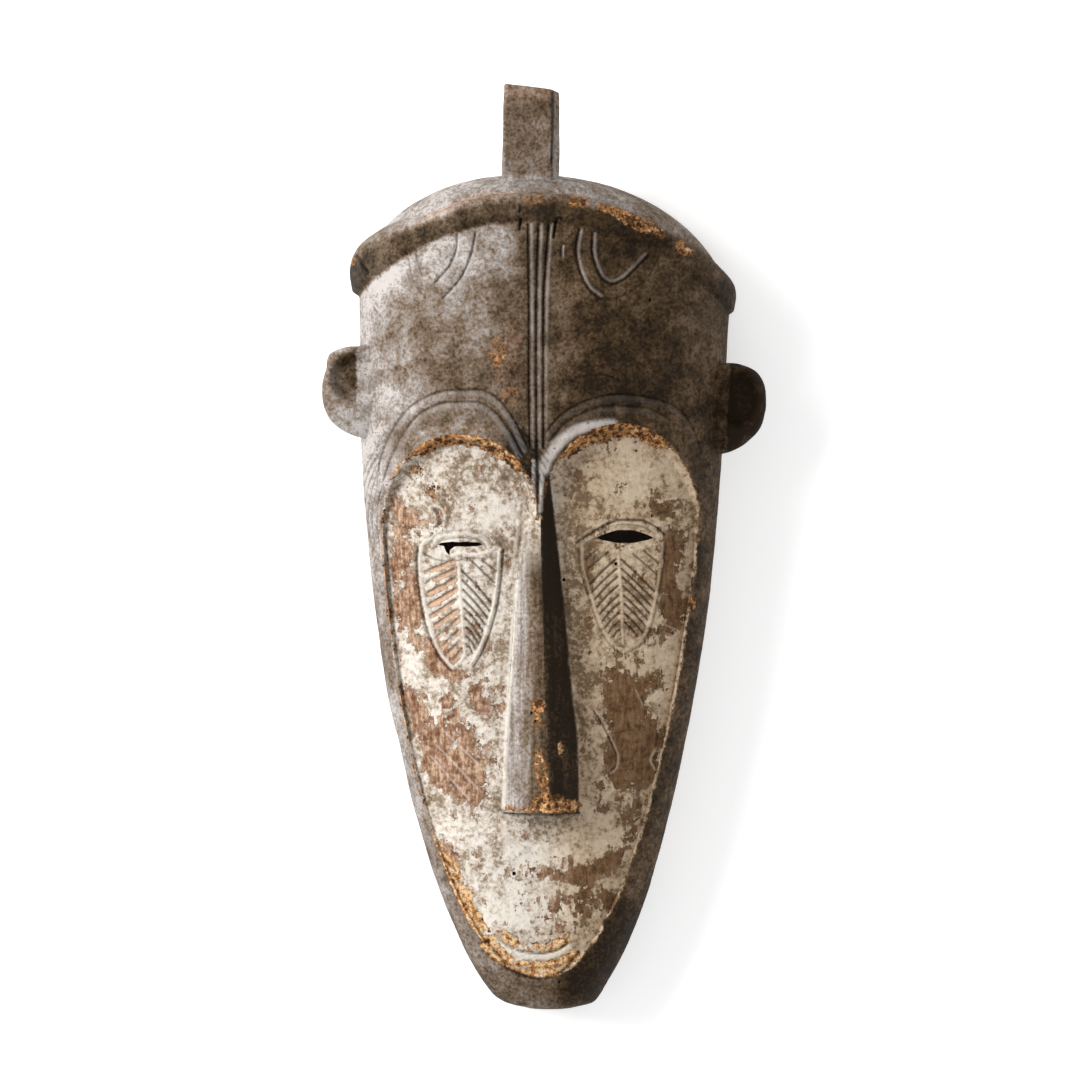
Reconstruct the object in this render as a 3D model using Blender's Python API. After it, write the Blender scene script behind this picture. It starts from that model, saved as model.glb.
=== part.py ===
"""Elongated wooden face mask, carved from one block.

It lies on its flat back rim with the face up: X runs to the photograph's right,
Y from the chin to the crest prong, Z from the back rim to the face.
Shape numbers are in millimetres and become metres when a mesh is made.
"""
import bmesh
import bpy
import numpy as np
from math import cos, pi, sin
from mathutils import Vector

MM = 0.001

# Outline of the block, seen from the front: (height, left edge, right edge).
CHIN = -237.1
TEMPLE_HALF = 97.0
OUTLINE = (
    (CHIN, -7.5, 15.0),
    (-234.5, -18.2, 25.6),
    (-227.2, -26.0, 30.7),
    (-204.4, -40.0, 43.2),
    (-168.5, -56.2, 56.4),
    (-121.2, -69.7, 67.4),
    (-60.3, -83.2, 79.5),
    (-0.5, -91.0, 87.9),
    (57.0, -95.0, 92.2),
    (128.0, 0.6 - TEMPLE_HALF, TEMPLE_HALF - 0.8),
)
# The crown above the temples is half an ellipse that leans down to the right.
TEMPLE = 128.0
CROWN = 66.6
CROWN_LEAN = 0.05

# Depth of the block along its middle: (height, depth).
CREST = (
    (CHIN, 41.0), (-233.0, 51.0), (-225.0, 56.5), (-205.0, 62.0), (-143.0, 72.0),
    (-60.0, 81.0), (0.0, 89.0), (45.0, 98.5), (90.0, 109.0), (130.0, 116.0),
    (158.0, 118.0), (172.0, 114.0), (182.0, 104.0), (188.5, 86.0), (192.5, 58.0),
    (TEMPLE + CROWN, 0.0),
)
# Squareness of the cross-sections: rounder over the forehead, boxier at the cheeks.
SQUARENESS = ((-237.1, 2.7), (-60.0, 3.2), (20.0, 3.0), (90.0, 2.35), (194.6, 2.2))

# Heart-shaped face: two arches under the brows and one long bowl to the mouth.
ARCH_FOOT = 15.0
ARCHES = ((-43.0, 40.0, 43.0), (39.0, 41.0, 48.0))
BOWL_TIP = -219.5
BOWL_MIDDLE = -1.0
BOWL_LEFT = (82.0, 1.6, 0.48)
BOWL_RIGHT = (80.5, 1.3, 0.475)
FACE_SINK = ((-219.5, 4.0), (-143.0, 5.5), (-60.0, 7.5), (0.0, 9.5), (60.0, 9.0))
FACE_WIDEN = 1.07
FACE_SQUARENESS = 2.6
BROW_ROLL = 2.6
BROW_ROLL_WIDTH = 8.5

# Nose: (height, left flank, right flank, height of the crest above the back).
NOSE_FOOT = -133.8
NOSE = (
    (NOSE_FOOT, -20.6, 18.8, 97.0),
    (-98.0, -20.0, 18.2, 95.5),
    (-71.0, -17.4, 15.0, 94.0),
    (-25.4, -14.2, 10.6, 93.5),
    (15.4, -9.6, 6.0, 95.0),
    (34.0, -6.5, 3.5, 96.5),
)

# Band over the forehead: lower edge along the middle, and how far it falls.
BAND_EDGE = 166.0
BAND_FALL = 38.0
BAND_TALL = 15.0
BAND_PROUD = 7.0
BAND_THIN_LEFT = 1.6
BAND_THIN_RIGHT = 3.8

# Hollow back: side wall, and where the hollow starts and ends along the mask.
WALL = 11.0
HOLLOW_REACH = (-223.0, 176.0)
HOLLOW_CREST = (
    (CHIN, 0.0), (-222.0, 12.0), (-205.0, 40.0), (-143.0, 54.0), (-60.0, 61.0),
    (0.0, 67.0), (45.0, 76.0), (90.0, 93.0), (130.0, 101.0), (158.0, 101.0),
    (168.0, 90.0), (175.0, 62.0),
)

# Crest prong, a squared peg a little narrower at the front than at the back.
PRONG_FRONT = (-20.3, 3.6)
PRONG_BACK = (-21.4, 7.4)
PRONG_TOP = 237.4
PRONG_ROOT = 176.0
PRONG_DEPTH = (68.0, 88.0)

# Ears: (centre x, centre height, half width, half height).
EARS = ((4.0 - TEMPLE_HALF, 82.5, 21.6, 23.2), (TEMPLE_HALF - 5.0, 75.0, 22.6, 23.6))
EAR_MIDDLE = 40.0
EAR_HALF_DEPTH = 13.0
EAR_SQUARE_TOP = 3.0
EAR_SQUARE_LOBE = 2.1
EAR_DISH = 0.78
EAR_DISH_OUT = 1.2
EAR_DISH_UP = 2.6

# Eye slits: (left corner, right corner, height, rise above it, fall below it), and
# the three-cornered break below the left one.
SLITS = ((-53.6, -32.0, 3.2, 1.3, 1.0), (27.4, 54.2, 6.4, 3.6, 1.9))
SLIT_BREAK = ((-52.6, 3.0), (-44.6, 3.0), (-48.8, -2.6))

# Incised lines: half width and depth of the V they are cut with.
LINE = 1.15
FINE_LINE = 1.0
MOUTH_LINE = 1.5

# Where they run: across for the middle lines, and points along the curves.
MIDDLE_LINES = (-7.4, -3.9, -0.4)
BROWS = {
    "outer brow left": ((-84.0, 50.0), (-73.3, 68.2), (-57.2, 78.7), (-40.0, 81.6), (-25.7, 78.0),
                        (-15.0, 66.5), (-7.6, 50.5)),
    "inner brow left": ((-79.5, 48.0), (-69.0, 64.0), (-55.0, 73.0), (-38.0, 75.8), (-24.5, 70.5),
                        (-15.5, 57.0)),
    "outer brow right": ((1.0, 56.5), (14.0, 70.5), (30.0, 78.2), (48.0, 79.0), (66.0, 73.5),
                         (75.5, 63.0), (80.0, 52.0)),
}
CROWN_ARCS = {
    "crown arc left outer": ((-34.9, 159.0), (-36.6, 150.0), (-42.5, 137.2), (-51.5, 127.8),
                             (-60.5, 128.5), (-67.5, 138.0), (-69.5, 147.0)),
    "crown arc left inner": ((-44.0, 157.5), (-45.0, 150.0), (-49.5, 141.0), (-56.0, 136.0),
                             (-61.5, 140.0), (-64.5, 149.0)),
    "crown arc right outer": ((17.6, 161.0), (16.0, 151.0), (19.0, 137.5), (28.2, 126.8),
                              (38.3, 128.0), (49.0, 135.0), (56.0, 146.0)),
    "crown arc right inner": ((24.8, 159.5), (24.0, 151.0), (27.0, 140.5), (33.0, 134.6),
                              (40.0, 136.6), (48.0, 143.5)),
}
MOUTH = ((-24.5, -205.8), (-14.0, -209.6), (-3.0, -210.6), (7.0, -209.2), (14.0, -205.6))

# Feather leaves under the eyes: (left edge, right edge, top, tip, fullness, rib's two ends,
# left barbs, right barbs), where barbs are (start, pitch, slope).
LEAVES = {
    "left leaf": (-62.6, -22.4, 0.0, (-46.0, -59.6), 2.6, ((-43.6, -6.0), (-41.0, -51.0)),
                  (-8.0, 5.5, 0.48), (-5.5, 4.4, 0.95)),
    "right leaf": (19.6, 60.6, 0.0, (41.5, -53.0), 3.5, ((38.4, -3.0), (40.4, -44.0)),
                   (-7.0, 4.6, 0.85), (-7.0, 4.6, 0.85)),
}
BARB_COUNT = 8

# How far cutters run past the surfaces they cut.
PAST = 12.0

# Fineness of the outer surface before it is thinned to facets.
ROWS = 270
COLUMNS = 170
FACETS = 0.036


def along(stations, column, height):
    """Smooth curve through a column of a station table."""
    table = np.array(stations, dtype=float)
    at, value = table[:, 0], table[:, column]
    slope = np.diff(value) / np.diff(at)
    bend = np.zeros(len(at))
    same = slope[:-1] * slope[1:] > 0
    mean = np.where(same, 2 * slope[:-1] * slope[1:] / np.where(same, slope[:-1] + slope[1:], 1), 0)
    bend[1:-1] = mean
    bend[0], bend[-1] = slope[0], slope[-1]
    h = np.clip(np.asarray(height, dtype=float), at[0], at[-1])
    i = np.clip(np.searchsorted(at, h) - 1, 0, len(at) - 2)
    wide = at[i + 1] - at[i]
    t = (h - at[i]) / wide
    return ((1 + 2 * t) * (1 - t) ** 2 * value[i] + t * (1 - t) ** 2 * wide * bend[i]
            + t * t * (3 - 2 * t) * value[i + 1] + t * t * (t - 1) * wide * bend[i + 1])


def ease(low, high, value):
    """Smooth step from 0 at low to 1 at high."""
    t = np.clip((value - low) / (high - low), 0, 1)
    return t * t * (3 - 2 * t)


def lean(v):
    """Sideways fall of the crown to the right, growing from the eyes upward."""
    return CROWN_LEAN * ease(0.0, 120.0, v)


def edges(v):
    """Left and right edge of the block at one height."""
    left, right = along(OUTLINE, 1, v), along(OUTLINE, 2, v)
    dome = np.sqrt(np.clip(1 - (np.maximum(v - TEMPLE, 0) / CROWN) ** 2, 0, 1))
    return left * dome, right * dome


def profile(v, columns, inset=0.0, crest=CREST, below=4.0):
    """One cross-section, its points evenly spread from rim to rim over the front."""
    left, right = edges(v)
    middle, half = (left + right) / 2, max((right - left) / 2 - inset, 0.0)
    power = 2 / along(SQUARENESS, 1, v)
    turn = np.linspace(0, pi, 400)
    x = middle - half * np.sign(np.cos(turn)) * np.abs(np.cos(turn)) ** power
    z = float(along(crest, 1, v)) * np.abs(np.sin(turn)) ** power
    x = np.concatenate(([x[0]], x, [x[-1]]))
    z = np.concatenate(([-below], z, [-below]))
    run = np.concatenate(([0.0], np.cumsum(np.hypot(np.diff(x), np.diff(z)))))
    even = np.linspace(0, run[-1], columns)
    return np.interp(even, run, x), np.interp(even, run, z)


def hull(heights, columns, **kind):
    """Cross-sections stacked from the chin to the crown."""
    grid = np.zeros((len(heights), columns, 3))
    for row, v in enumerate(heights):
        x, z = profile(v, columns, **kind)
        grid[row] = np.stack((x, v - lean(v) * x, z), axis=1)
    return grid


def front(x, v, widen=1.0, squareness=None, sink=0.0):
    """Height of a smooth front over the point x at the height v."""
    left, right = edges(v)
    u = np.clip(np.abs((x - (left + right) / 2) / ((right - left) / 2 * widen + 1e-6)), 0, 1)
    power = along(SQUARENESS, 1, v) if squareness is None else squareness
    return (along(CREST, 1, v) - sink) * (1 - u ** power) ** (1 / power)


def inside_heart(x, y):
    """Distance in from the edge of the heart-shaped face, below zero outside it."""
    arch = []
    for middle, half, tall in ARCHES:
        reach = np.hypot((x - middle) / half, (y - ARCH_FOOT) / tall)
        arch.append((1 - reach) * (half + tall) / 2)
    t = np.clip((ARCH_FOOT - y) / (ARCH_FOOT - BOWL_TIP), 0, 1)
    left = BOWL_LEFT[0] * (1 - t ** BOWL_LEFT[1]) ** BOWL_LEFT[2]
    right = BOWL_RIGHT[0] * (1 - t ** BOWL_RIGHT[1]) ** BOWL_RIGHT[2]
    bowl = np.minimum(x - BOWL_MIDDLE + left, BOWL_MIDDLE + right - x)
    tip = (y - BOWL_TIP) * 0.9
    bowl = np.where(y < BOWL_TIP + 25, np.minimum(bowl, tip), bowl)
    return np.where(y > ARCH_FOOT, np.maximum(arch[0], arch[1]), bowl)


def face_height(x, y, z, v):
    """Carve the sunk face, the brow rolls and the nose into the front."""
    deep = inside_heart(x, y)
    sunk = front(x, v, FACE_WIDEN, FACE_SQUARENESS, along(FACE_SINK, 1, y))
    slope = 1.5 + 3.5 * ease(0, 40, y)
    inner = ease(0, 1, deep / slope)
    roll = np.clip(1 + deep / BROW_ROLL_WIDTH, 0, 1) * (deep < 0) + (deep >= 0)
    brow = BROW_ROLL * ease(5, 40, y) * ease(0, 1, roll)
    carved = z + brow * (1 - inner) + np.minimum(sunk - z, 0) * inner
    left, right = along(NOSE, 1, y), along(NOSE, 2, y)
    s = np.clip((x - (left + right) / 2) / ((right - left) / 2), -1, 1)
    sunk_here = np.minimum(sunk, z)
    rise = along(NOSE, 3, y) - front((left + right) / 2, v, FACE_WIDEN, FACE_SQUARENESS,
                                    along(FACE_SINK, 1, y))
    nose = sunk_here + rise * (1 - s * s) ** 0.8
    on_nose = (y > NOSE_FOOT) * (1 - ease(28, 42, y))
    return np.where(on_nose > 0, np.maximum(carved, nose * on_nose + carved * (1 - on_nose)), carved)


def band_height(x, v):
    """How far the band stands off the front at one point."""
    u = np.clip(np.abs(x) / TEMPLE_HALF, 0, 1)
    low = BAND_EDGE - BAND_FALL * u ** 2.2
    t = (v - low) / BAND_TALL
    rise = 0.55 * ease(-0.04, 0.06, t) + 0.45 * ease(0.0, 0.45, t)
    fall = 1 - ease(0.5, 1.02, t)
    proud = BAND_PROUD - np.where(x < 0, BAND_THIN_LEFT, BAND_THIN_RIGHT) * u ** 2
    return proud * rise * fall


def block(heights, columns):
    """The whole outer surface: block, band, sunk face, brows and nose."""
    grid = hull(heights, columns)
    rows = np.repeat(np.asarray(heights)[:, None], columns, axis=1)
    down = np.gradient(grid, axis=0)
    over = np.gradient(grid, axis=1)
    normal = np.cross(over, down)
    normal /= np.linalg.norm(normal, axis=2, keepdims=True) + 1e-9
    grid = grid + normal * band_height(grid[..., 0], rows)[..., None]
    x, y, z = grid[..., 0], grid[..., 1], grid[..., 2]
    on_front = (z > 0) & (rows < 120)
    grid[..., 2] = np.where(on_front, face_height(x, y, z, rows), z)
    return grid


def lofted(name, grid):
    """A closed mesh whose skin is the grid, with a flat chin and a flat back."""
    rows, columns = grid.shape[:2]
    bm = bmesh.new()
    bmesh.ops.create_grid(bm, x_segments=columns - 1, y_segments=rows - 1, size=1.0)
    verts = sorted(bm.verts, key=lambda p: (round(p.co.y, 5), round(p.co.x, 5)))
    for vert, point in zip(verts, grid.reshape(-1, 3)):
        vert.co = Vector(point) * MM
    for end in (verts[:columns], verts[-columns:]):
        if (end[0].co - end[-1].co).length > MM:
            row = [edge for edge in bm.edges if edge.verts[0] in end and edge.verts[1] in end]
            base = bm.edges.new((end[0], end[-1]))
            bmesh.ops.contextual_create(bm, geom=row + [base])
    bmesh.ops.remove_doubles(bm, verts=bm.verts, dist=1e-6)
    rim = [edge for edge in bm.edges if edge.is_boundary]
    bmesh.ops.holes_fill(bm, edges=rim, sides=0)
    bmesh.ops.recalc_face_normals(bm, faces=bm.faces)
    mesh = bpy.data.meshes.new(name)
    bm.to_mesh(mesh)
    bm.free()
    return mesh


def placed(mesh, name, group, material=None):
    """Put a mesh into a collection as an object."""
    thing = bpy.data.objects.new(name, mesh)
    group.objects.link(thing)
    if material:
        thing.data.materials.append(material)
    return thing


def solid(bm, name, group):
    """Finish a bmesh as a cutter or a limb."""
    bmesh.ops.recalc_face_normals(bm, faces=bm.faces)
    mesh = bpy.data.meshes.new(name)
    bm.to_mesh(mesh)
    bm.free()
    return placed(mesh, name, group)


def surface_point(x, y, lift=0.0):
    """The carved front over one point of the photograph's plane."""
    v = y
    for _ in range(4):
        v = y + lean(v) * x
    v = np.float64(v)
    z = front(x, v)
    if y < 66:
        z = face_height(np.float64(x), np.float64(y), z, v)
    return Vector((x, y, float(z) + lift)) * MM


def curve_points(points, steps):
    """Smooth run of points through a few given ones."""
    table = [(i, x, y) for i, (x, y) in enumerate(points)]
    at = np.linspace(0, len(points) - 1, steps)
    return list(zip(along(table, 1, at), along(table, 2, at)))


def groove(name, points, size, group):
    """V-section cutter that follows the carved front along a run of points."""
    data = bpy.data.curves.new(name, "CURVE")
    data.dimensions = "3D"
    data.twist_mode = "Z_UP"
    data.bevel_depth = size * MM
    data.bevel_resolution = 0
    data.use_fill_caps = True
    line = data.splines.new("POLY")
    line.points.add(len(points) - 1)
    for spot, (x, y) in zip(line.points, points):
        spot.co = (*surface_point(x, y), 1.0)
    rod = bpy.data.objects.new(name + " line", data)
    group.objects.link(rod)
    bpy.context.view_layer.update()
    mesh = bpy.data.meshes.new_from_object(rod.evaluated_get(bpy.context.evaluated_depsgraph_get()))
    bpy.data.objects.remove(rod)
    bm = bmesh.new()
    bm.from_mesh(mesh)
    bmesh.ops.remove_doubles(bm, verts=bm.verts, dist=1e-6)
    bpy.data.meshes.remove(mesh)
    return solid(bm, name, group)


def boolean(target, operand, operation):
    """Join to or cut from the target at once, and keep the operand as a cutter."""
    step = target.modifiers.new(operation.lower(), "BOOLEAN")
    step.operation = operation
    step.solver = "EXACT"
    if isinstance(operand, bpy.types.Collection):
        step.operand_type = "COLLECTION"
        step.collection = operand
    else:
        step.object = operand
    settle(target)


def settle(target):
    """Turn the target's modifiers into its mesh."""
    bpy.context.view_layer.update()
    graph = bpy.context.evaluated_depsgraph_get()
    mesh = bpy.data.meshes.new_from_object(target.evaluated_get(graph))
    old = target.data
    target.modifiers.clear()
    target.data = mesh
    bpy.data.meshes.remove(old)


def collection(name, parent, hidden=False):
    """New collection; cutters stay hidden in renders."""
    group = bpy.data.collections.new(name)
    parent.children.link(group)
    group.hide_render = hidden
    return group


def ear(side, name, group):
    """Half-round ear with a hollow dish on its front."""
    x, y, half, tall = EARS[side]
    bm = bmesh.new()
    bmesh.ops.create_uvsphere(bm, u_segments=20, v_segments=12, radius=1.0)
    for vert in bm.verts:
        p = vert.co
        wide = np.hypot(p.x, p.y)
        square = EAR_SQUARE_TOP if p.y > 0 else EAR_SQUARE_LOBE
        edge = (abs(p.x) ** square + abs(p.y) ** square) ** (1 / square)
        flat = edge / wide if wide > 1e-6 else 1.0
        vert.co = Vector((x + p.x / flat * half, y + p.y / flat * tall,
                          EAR_MIDDLE + p.z * EAR_HALF_DEPTH)) * MM
    return solid(bm, name, group)


def ear_dish(side, name, group):
    """Rounded cutter for the hollow of one ear."""
    x, y, half, tall = EARS[side]
    bm = bmesh.new()
    bmesh.ops.create_uvsphere(bm, u_segments=16, v_segments=8, radius=1.0)
    outward = -1 if x < 0 else 1
    for vert in bm.verts:
        p = vert.co
        vert.co = Vector((x + outward * EAR_DISH_OUT + p.x * half * EAR_DISH,
                          y + EAR_DISH_UP + p.y * tall * EAR_DISH,
                          EAR_MIDDLE + EAR_HALF_DEPTH + p.z * EAR_HALF_DEPTH)) * MM
    return solid(bm, name, group)


def prong(name, group):
    """Squared peg on the crown, turned a little so that its right side shows."""
    bm = bmesh.new()
    bmesh.ops.create_cube(bm, size=2.0)
    low, high = PRONG_DEPTH
    for vert in bm.verts:
        ends = PRONG_FRONT if vert.co.z > 0 else PRONG_BACK
        x = ends[0] if vert.co.x < 0 else ends[1]
        y = PRONG_ROOT if vert.co.y < 0 else PRONG_TOP - 2.6 * (vert.co.x > 0)
        if vert.co.y > 0 and vert.co.x < 0:
            x += 0.9
        vert.co = Vector((x, y, high if vert.co.z > 0 else low)) * MM
    bmesh.ops.bevel(bm, geom=bm.edges[:], offset=1.2 * MM, segments=2, profile=0.5,
                    affect="EDGES")
    return solid(bm, name, group)


def prism(name, outline, low, high, group):
    """Upright prism over a closed outline."""
    bm = bmesh.new()
    ring = [bm.verts.new(Vector((x, y, low)) * MM) for x, y in outline]
    floor = bm.faces.new(ring)
    raised = bmesh.ops.extrude_face_region(bm, geom=[floor])["geom"]
    top = [item for item in raised if isinstance(item, bmesh.types.BMVert)]
    bmesh.ops.translate(bm, verts=top, vec=Vector((0, 0, high - low)) * MM)
    return solid(bm, name, group)


def through_face():
    """Range of depth that reaches from inside the hollow to before the face."""
    behind = float(along(HOLLOW_CREST, 1, 0.0)) / 2
    before = float(along(CREST, 1, 0.0)) + PAST
    return behind, before


def slit(name, sizes, group):
    """Eye slit: a lens between two corners, cut through the face wall."""
    left, right, y, upper, lower = sizes
    middle, half = (left + right) / 2, (right - left) / 2
    turn = np.linspace(0, 2 * pi, 20, endpoint=False)
    outline = [(middle - half * cos(a), y + (upper if sin(a) > 0 else lower) * sin(a)) for a in turn]
    return prism(name, outline, *through_face(), group)


def leaf(name, left, right, top, tip, full, rib, left_barbs, right_barbs, group):
    """Feather pattern under an eye: outline, rib and rising barbs."""
    tip_x, tip_y = tip
    tall = top - tip_y
    down = np.linspace(0, 1, 11)
    width = 1 - down ** full
    outline = [(tip_x + (left - tip_x) * w, top - tall * d) for d, w in zip(down, width)]
    outline += [(tip_x + (right - tip_x) * w, top - tall * d)
                for d, w in reversed(list(zip(down, width)))][1:]
    groove(name + " outline", outline, LINE, group)
    rib_top, rib_low = rib
    groove(name + " rib", [rib_top, rib_low], LINE, group)
    for side, edge, (start, pitch, slope) in ((-1, left, left_barbs), (1, right, right_barbs)):
        for i in range(BARB_COUNT):
            y = start - i * pitch
            t = (rib_top[1] - y) / (rib_top[1] - rib_low[1])
            x = rib_top[0] + (rib_low[0] - rib_top[0]) * t + side * 1.5
            reach = (edge - tip_x) * (1 - max(0, (top - y) / tall) ** full) + tip_x
            length = abs(reach - x) - 2.2
            end_y = y - slope * length
            reach = (edge - tip_x) * (1 - min(1, max(0, (top - end_y) / tall)) ** full) + tip_x
            length = abs(reach - x) - 2.2
            if length > 3:
                run = [(x, y), (x + side * length, y - slope * length)]
                groove(f"{name} barb {side} {i}", run, FINE_LINE, group)


def carve_lines(group):
    """All the incised lines of the forehead, brows, cheeks and mouth."""
    for x in MIDDLE_LINES:
        spread = [(x + (1.5 if x > -1 else 0.3), 163.0), (x, 138.0), (x, 100.0), (x + 0.2, 60.0)]
        groove(f"middle line {x}", curve_points(spread, 10), LINE, group)
    for name, points in BROWS.items():
        groove(name, curve_points(points, 4 * len(points) - 6), LINE, group)
    for name, points in CROWN_ARCS.items():
        groove(name, curve_points(points, 4 * len(points) - 10), FINE_LINE, group)
    groove("mouth", curve_points(MOUTH, 12), MOUTH_LINE, group)
    for name, sizes in LEAVES.items():
        leaf(name, *sizes, group)


def build():
    """Make the mask."""
    for thing in list(bpy.data.objects):
        bpy.data.objects.remove(thing)
    scene = bpy.context.scene.collection
    mask_group = collection("Face mask", scene)
    cutters = collection("Cutters", scene, hidden=True)
    lines = collection("Incised lines", cutters, hidden=True)
    wood = bpy.data.materials.new("Carved wood")
    wood.use_nodes = True
    surface = wood.node_tree.nodes["Principled BSDF"]
    surface.inputs["Base Color"].default_value = (0.22, 0.19, 0.16, 1.0)
    surface.inputs["Roughness"].default_value = 0.85

    turns = np.linspace(0, 1, ROWS)
    heights = CHIN + (TEMPLE + CROWN - CHIN) * (0.75 * turns + 0.125 * (1 - np.cos(pi * turns)))
    heights = np.sort(np.concatenate((heights, (NOSE_FOOT - 0.4, NOSE_FOOT + 0.2))))
    mask = placed(lofted("mask", block(heights, COLUMNS)), "mask", mask_group, wood)
    thin = mask.modifiers.new("facets", "DECIMATE")
    thin.ratio = FACETS
    settle(mask)

    for side, name in enumerate(("left ear", "right ear")):
        boolean(mask, ear(side, name, cutters), "UNION")
        boolean(mask, ear_dish(side, name + " dish", cutters), "DIFFERENCE")
    boolean(mask, prong("prong", cutters), "UNION")

    inner = np.linspace(*HOLLOW_REACH, 22)
    shape = hull(inner, 20, inset=WALL, crest=HOLLOW_CREST, below=PAST)
    hollow = placed(lofted("hollow", shape), "hollow", cutters)
    boolean(mask, hollow, "DIFFERENCE")
    wide, tall = TEMPLE_HALF + 2 * PAST, PRONG_TOP + PAST
    table = [(-wide, -tall), (wide, -tall), (wide, tall), (-wide, tall)]
    bench = prism("bench", table, -2 * PAST, 0.0, cutters)
    boolean(mask, bench, "DIFFERENCE")
    for side, sizes in zip(("left", "right"), SLITS):
        boolean(mask, slit(side + " slit", sizes, cutters), "DIFFERENCE")
    chip = prism("left slit break", SLIT_BREAK, *through_face(), cutters)
    boolean(mask, chip, "DIFFERENCE")
    carve_lines(lines)
    boolean(mask, lines, "DIFFERENCE")
    for thing in list(cutters.objects) + list(lines.objects):
        thing.hide_render = True
        thing.display_type = "WIRE"
    tidy = bmesh.new()
    tidy.from_mesh(mask.data)
    bmesh.ops.remove_doubles(tidy, verts=tidy.verts, dist=2e-5)
    bmesh.ops.triangulate(tidy, faces=tidy.faces)
    tidy.to_mesh(mask.data)
    tidy.free()
    print("triangles", len(mask.data.polygons))


build()
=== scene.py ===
"""Looks of an old whitened face mask, carved from one block of wood.

The mask lies on its flat back rim with the face up: X runs to the right of the view,
Y from the chin to the crest prong, Z up. Shape numbers are in millimetres and become
metres when a mesh is made. The file is laid out as an add-on and run as a script: it
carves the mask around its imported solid, then sets the floor, the light and the camera.
"""
from math import pi, radians

import bmesh
import bpy
import numpy as np
from bpy.props import FloatProperty, FloatVectorProperty, IntProperty, PointerProperty
from mathutils import Matrix, Vector


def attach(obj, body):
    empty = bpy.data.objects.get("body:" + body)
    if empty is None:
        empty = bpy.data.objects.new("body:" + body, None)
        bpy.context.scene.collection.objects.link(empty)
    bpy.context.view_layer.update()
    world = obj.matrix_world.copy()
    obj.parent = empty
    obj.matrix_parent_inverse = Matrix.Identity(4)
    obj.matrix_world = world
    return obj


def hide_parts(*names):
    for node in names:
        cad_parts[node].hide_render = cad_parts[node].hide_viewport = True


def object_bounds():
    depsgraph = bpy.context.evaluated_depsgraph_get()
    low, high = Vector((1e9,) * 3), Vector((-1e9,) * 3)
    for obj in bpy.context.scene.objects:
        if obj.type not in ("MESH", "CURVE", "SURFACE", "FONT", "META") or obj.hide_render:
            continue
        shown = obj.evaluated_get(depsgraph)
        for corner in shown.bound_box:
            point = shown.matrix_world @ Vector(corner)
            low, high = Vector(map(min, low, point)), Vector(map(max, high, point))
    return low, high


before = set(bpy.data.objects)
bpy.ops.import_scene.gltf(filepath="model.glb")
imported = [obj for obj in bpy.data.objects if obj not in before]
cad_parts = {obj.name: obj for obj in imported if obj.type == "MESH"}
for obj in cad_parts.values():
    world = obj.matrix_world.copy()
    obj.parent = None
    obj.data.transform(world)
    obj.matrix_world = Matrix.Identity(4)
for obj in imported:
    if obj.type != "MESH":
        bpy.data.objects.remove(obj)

bl_info = {
    "name": "Carved face mask",
    "version": (1, 0, 0),
    "blender": (4, 5, 0),
    "location": "3D View > Sidebar > Mask",
    "description": "Carves a whitened wooden face mask and sets its studio",
    "category": "Object",
}

MM = 0.001
CAD_LOW, CAD_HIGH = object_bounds()

# Outline of the block, seen from the front: (height, left edge, right edge).
CHIN = CAD_LOW.y / MM
TEMPLE_HALF = 97.0
OUTLINE = (
    (CHIN, -10, 16),
    (-234.5, -22.5, 26.5),
    (-227.2, -30, 31.8),
    (-204.4, -43, 44),
    (-168.5, -57.6, 57),
    (-121.2, -70.9, 69.2),
    (-60.3, -83.9, 80.8),
    (-0.5, -91.4, 88.9),
    (57, -95.4, 93.2),
    (128, 0.6 - TEMPLE_HALF, TEMPLE_HALF - 0.4),
)
# The crown above the temples is nearly half an ellipse that leans down to the right.
TEMPLE = 128.0
CROWN = 66.6
CROWN_LEAN = 0.05
CROWN_FULL = (2.13, 2.06)

# Depth of the block along its middle: (height, depth).
CREST = (
    (CHIN, 41), (-233, 51), (-225, 56.5), (-205, 62), (-143, 72),
    (-60, 81), (0, 89), (45, 98.5), (90, 109), (130, 116),
    (158, 118), (172, 114), (182, 104), (188.5, 86), (192.5, 58),
    (TEMPLE + CROWN, 0),
)
# Squareness of the cross-sections: rounder over the forehead, boxier at the cheeks.
SQUARENESS = ((CHIN, 2.7), (-60, 3.2), (20, 3), (90, 2.35), (194.6, 2.2))

# Heart-shaped face: two arches under the brows and one long bowl to the mouth. Nothing
# of the face is carved above its top.
FACE_TOP = 120.0
ARCH_FOOT = 15.0
ARCHES = ((-43, 40, 43), (39, 41, 48))
BOWL_TIP = -219.5
BOWL_MIDDLE = -1.0
BOWL_LEFT = (82.0, 1.6, 0.48)
BOWL_RIGHT = (80.5, 1.3, 0.475)
FACE_SINK = ((-219.5, 4), (-143, 5.5), (-60, 7.5), (0, 9.5), (60, 9))
FACE_WIDEN = 1.07
FACE_SQUARENESS = 2.6
FACE_EDGE = (1.5, 5.0)
BROW_ROLL = 2.8
BROW_ROLL_WIDTH = 8.5

# Nose: (height, left foot, right foot, height of the crest above the back, crest's x).
NOSE_FOOT = -133.8
NOSE_RUNS_OUT = (28.0, 42.0)
NOSE_ROOT = 46.0
NOSE = (
    (NOSE_FOOT, -20.6, 18.8, 97, 3.4),
    (-98, -20, 18.2, 95.5, 1.8),
    (-71, -17.4, 15, 94, 0.5),
    (-25.4, -14.2, 10.6, 93.5, -1),
    (15.4, -9.6, 6, 95, -1.8),
    (34, -6.5, 3.5, 96.5, -2),
)

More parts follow.
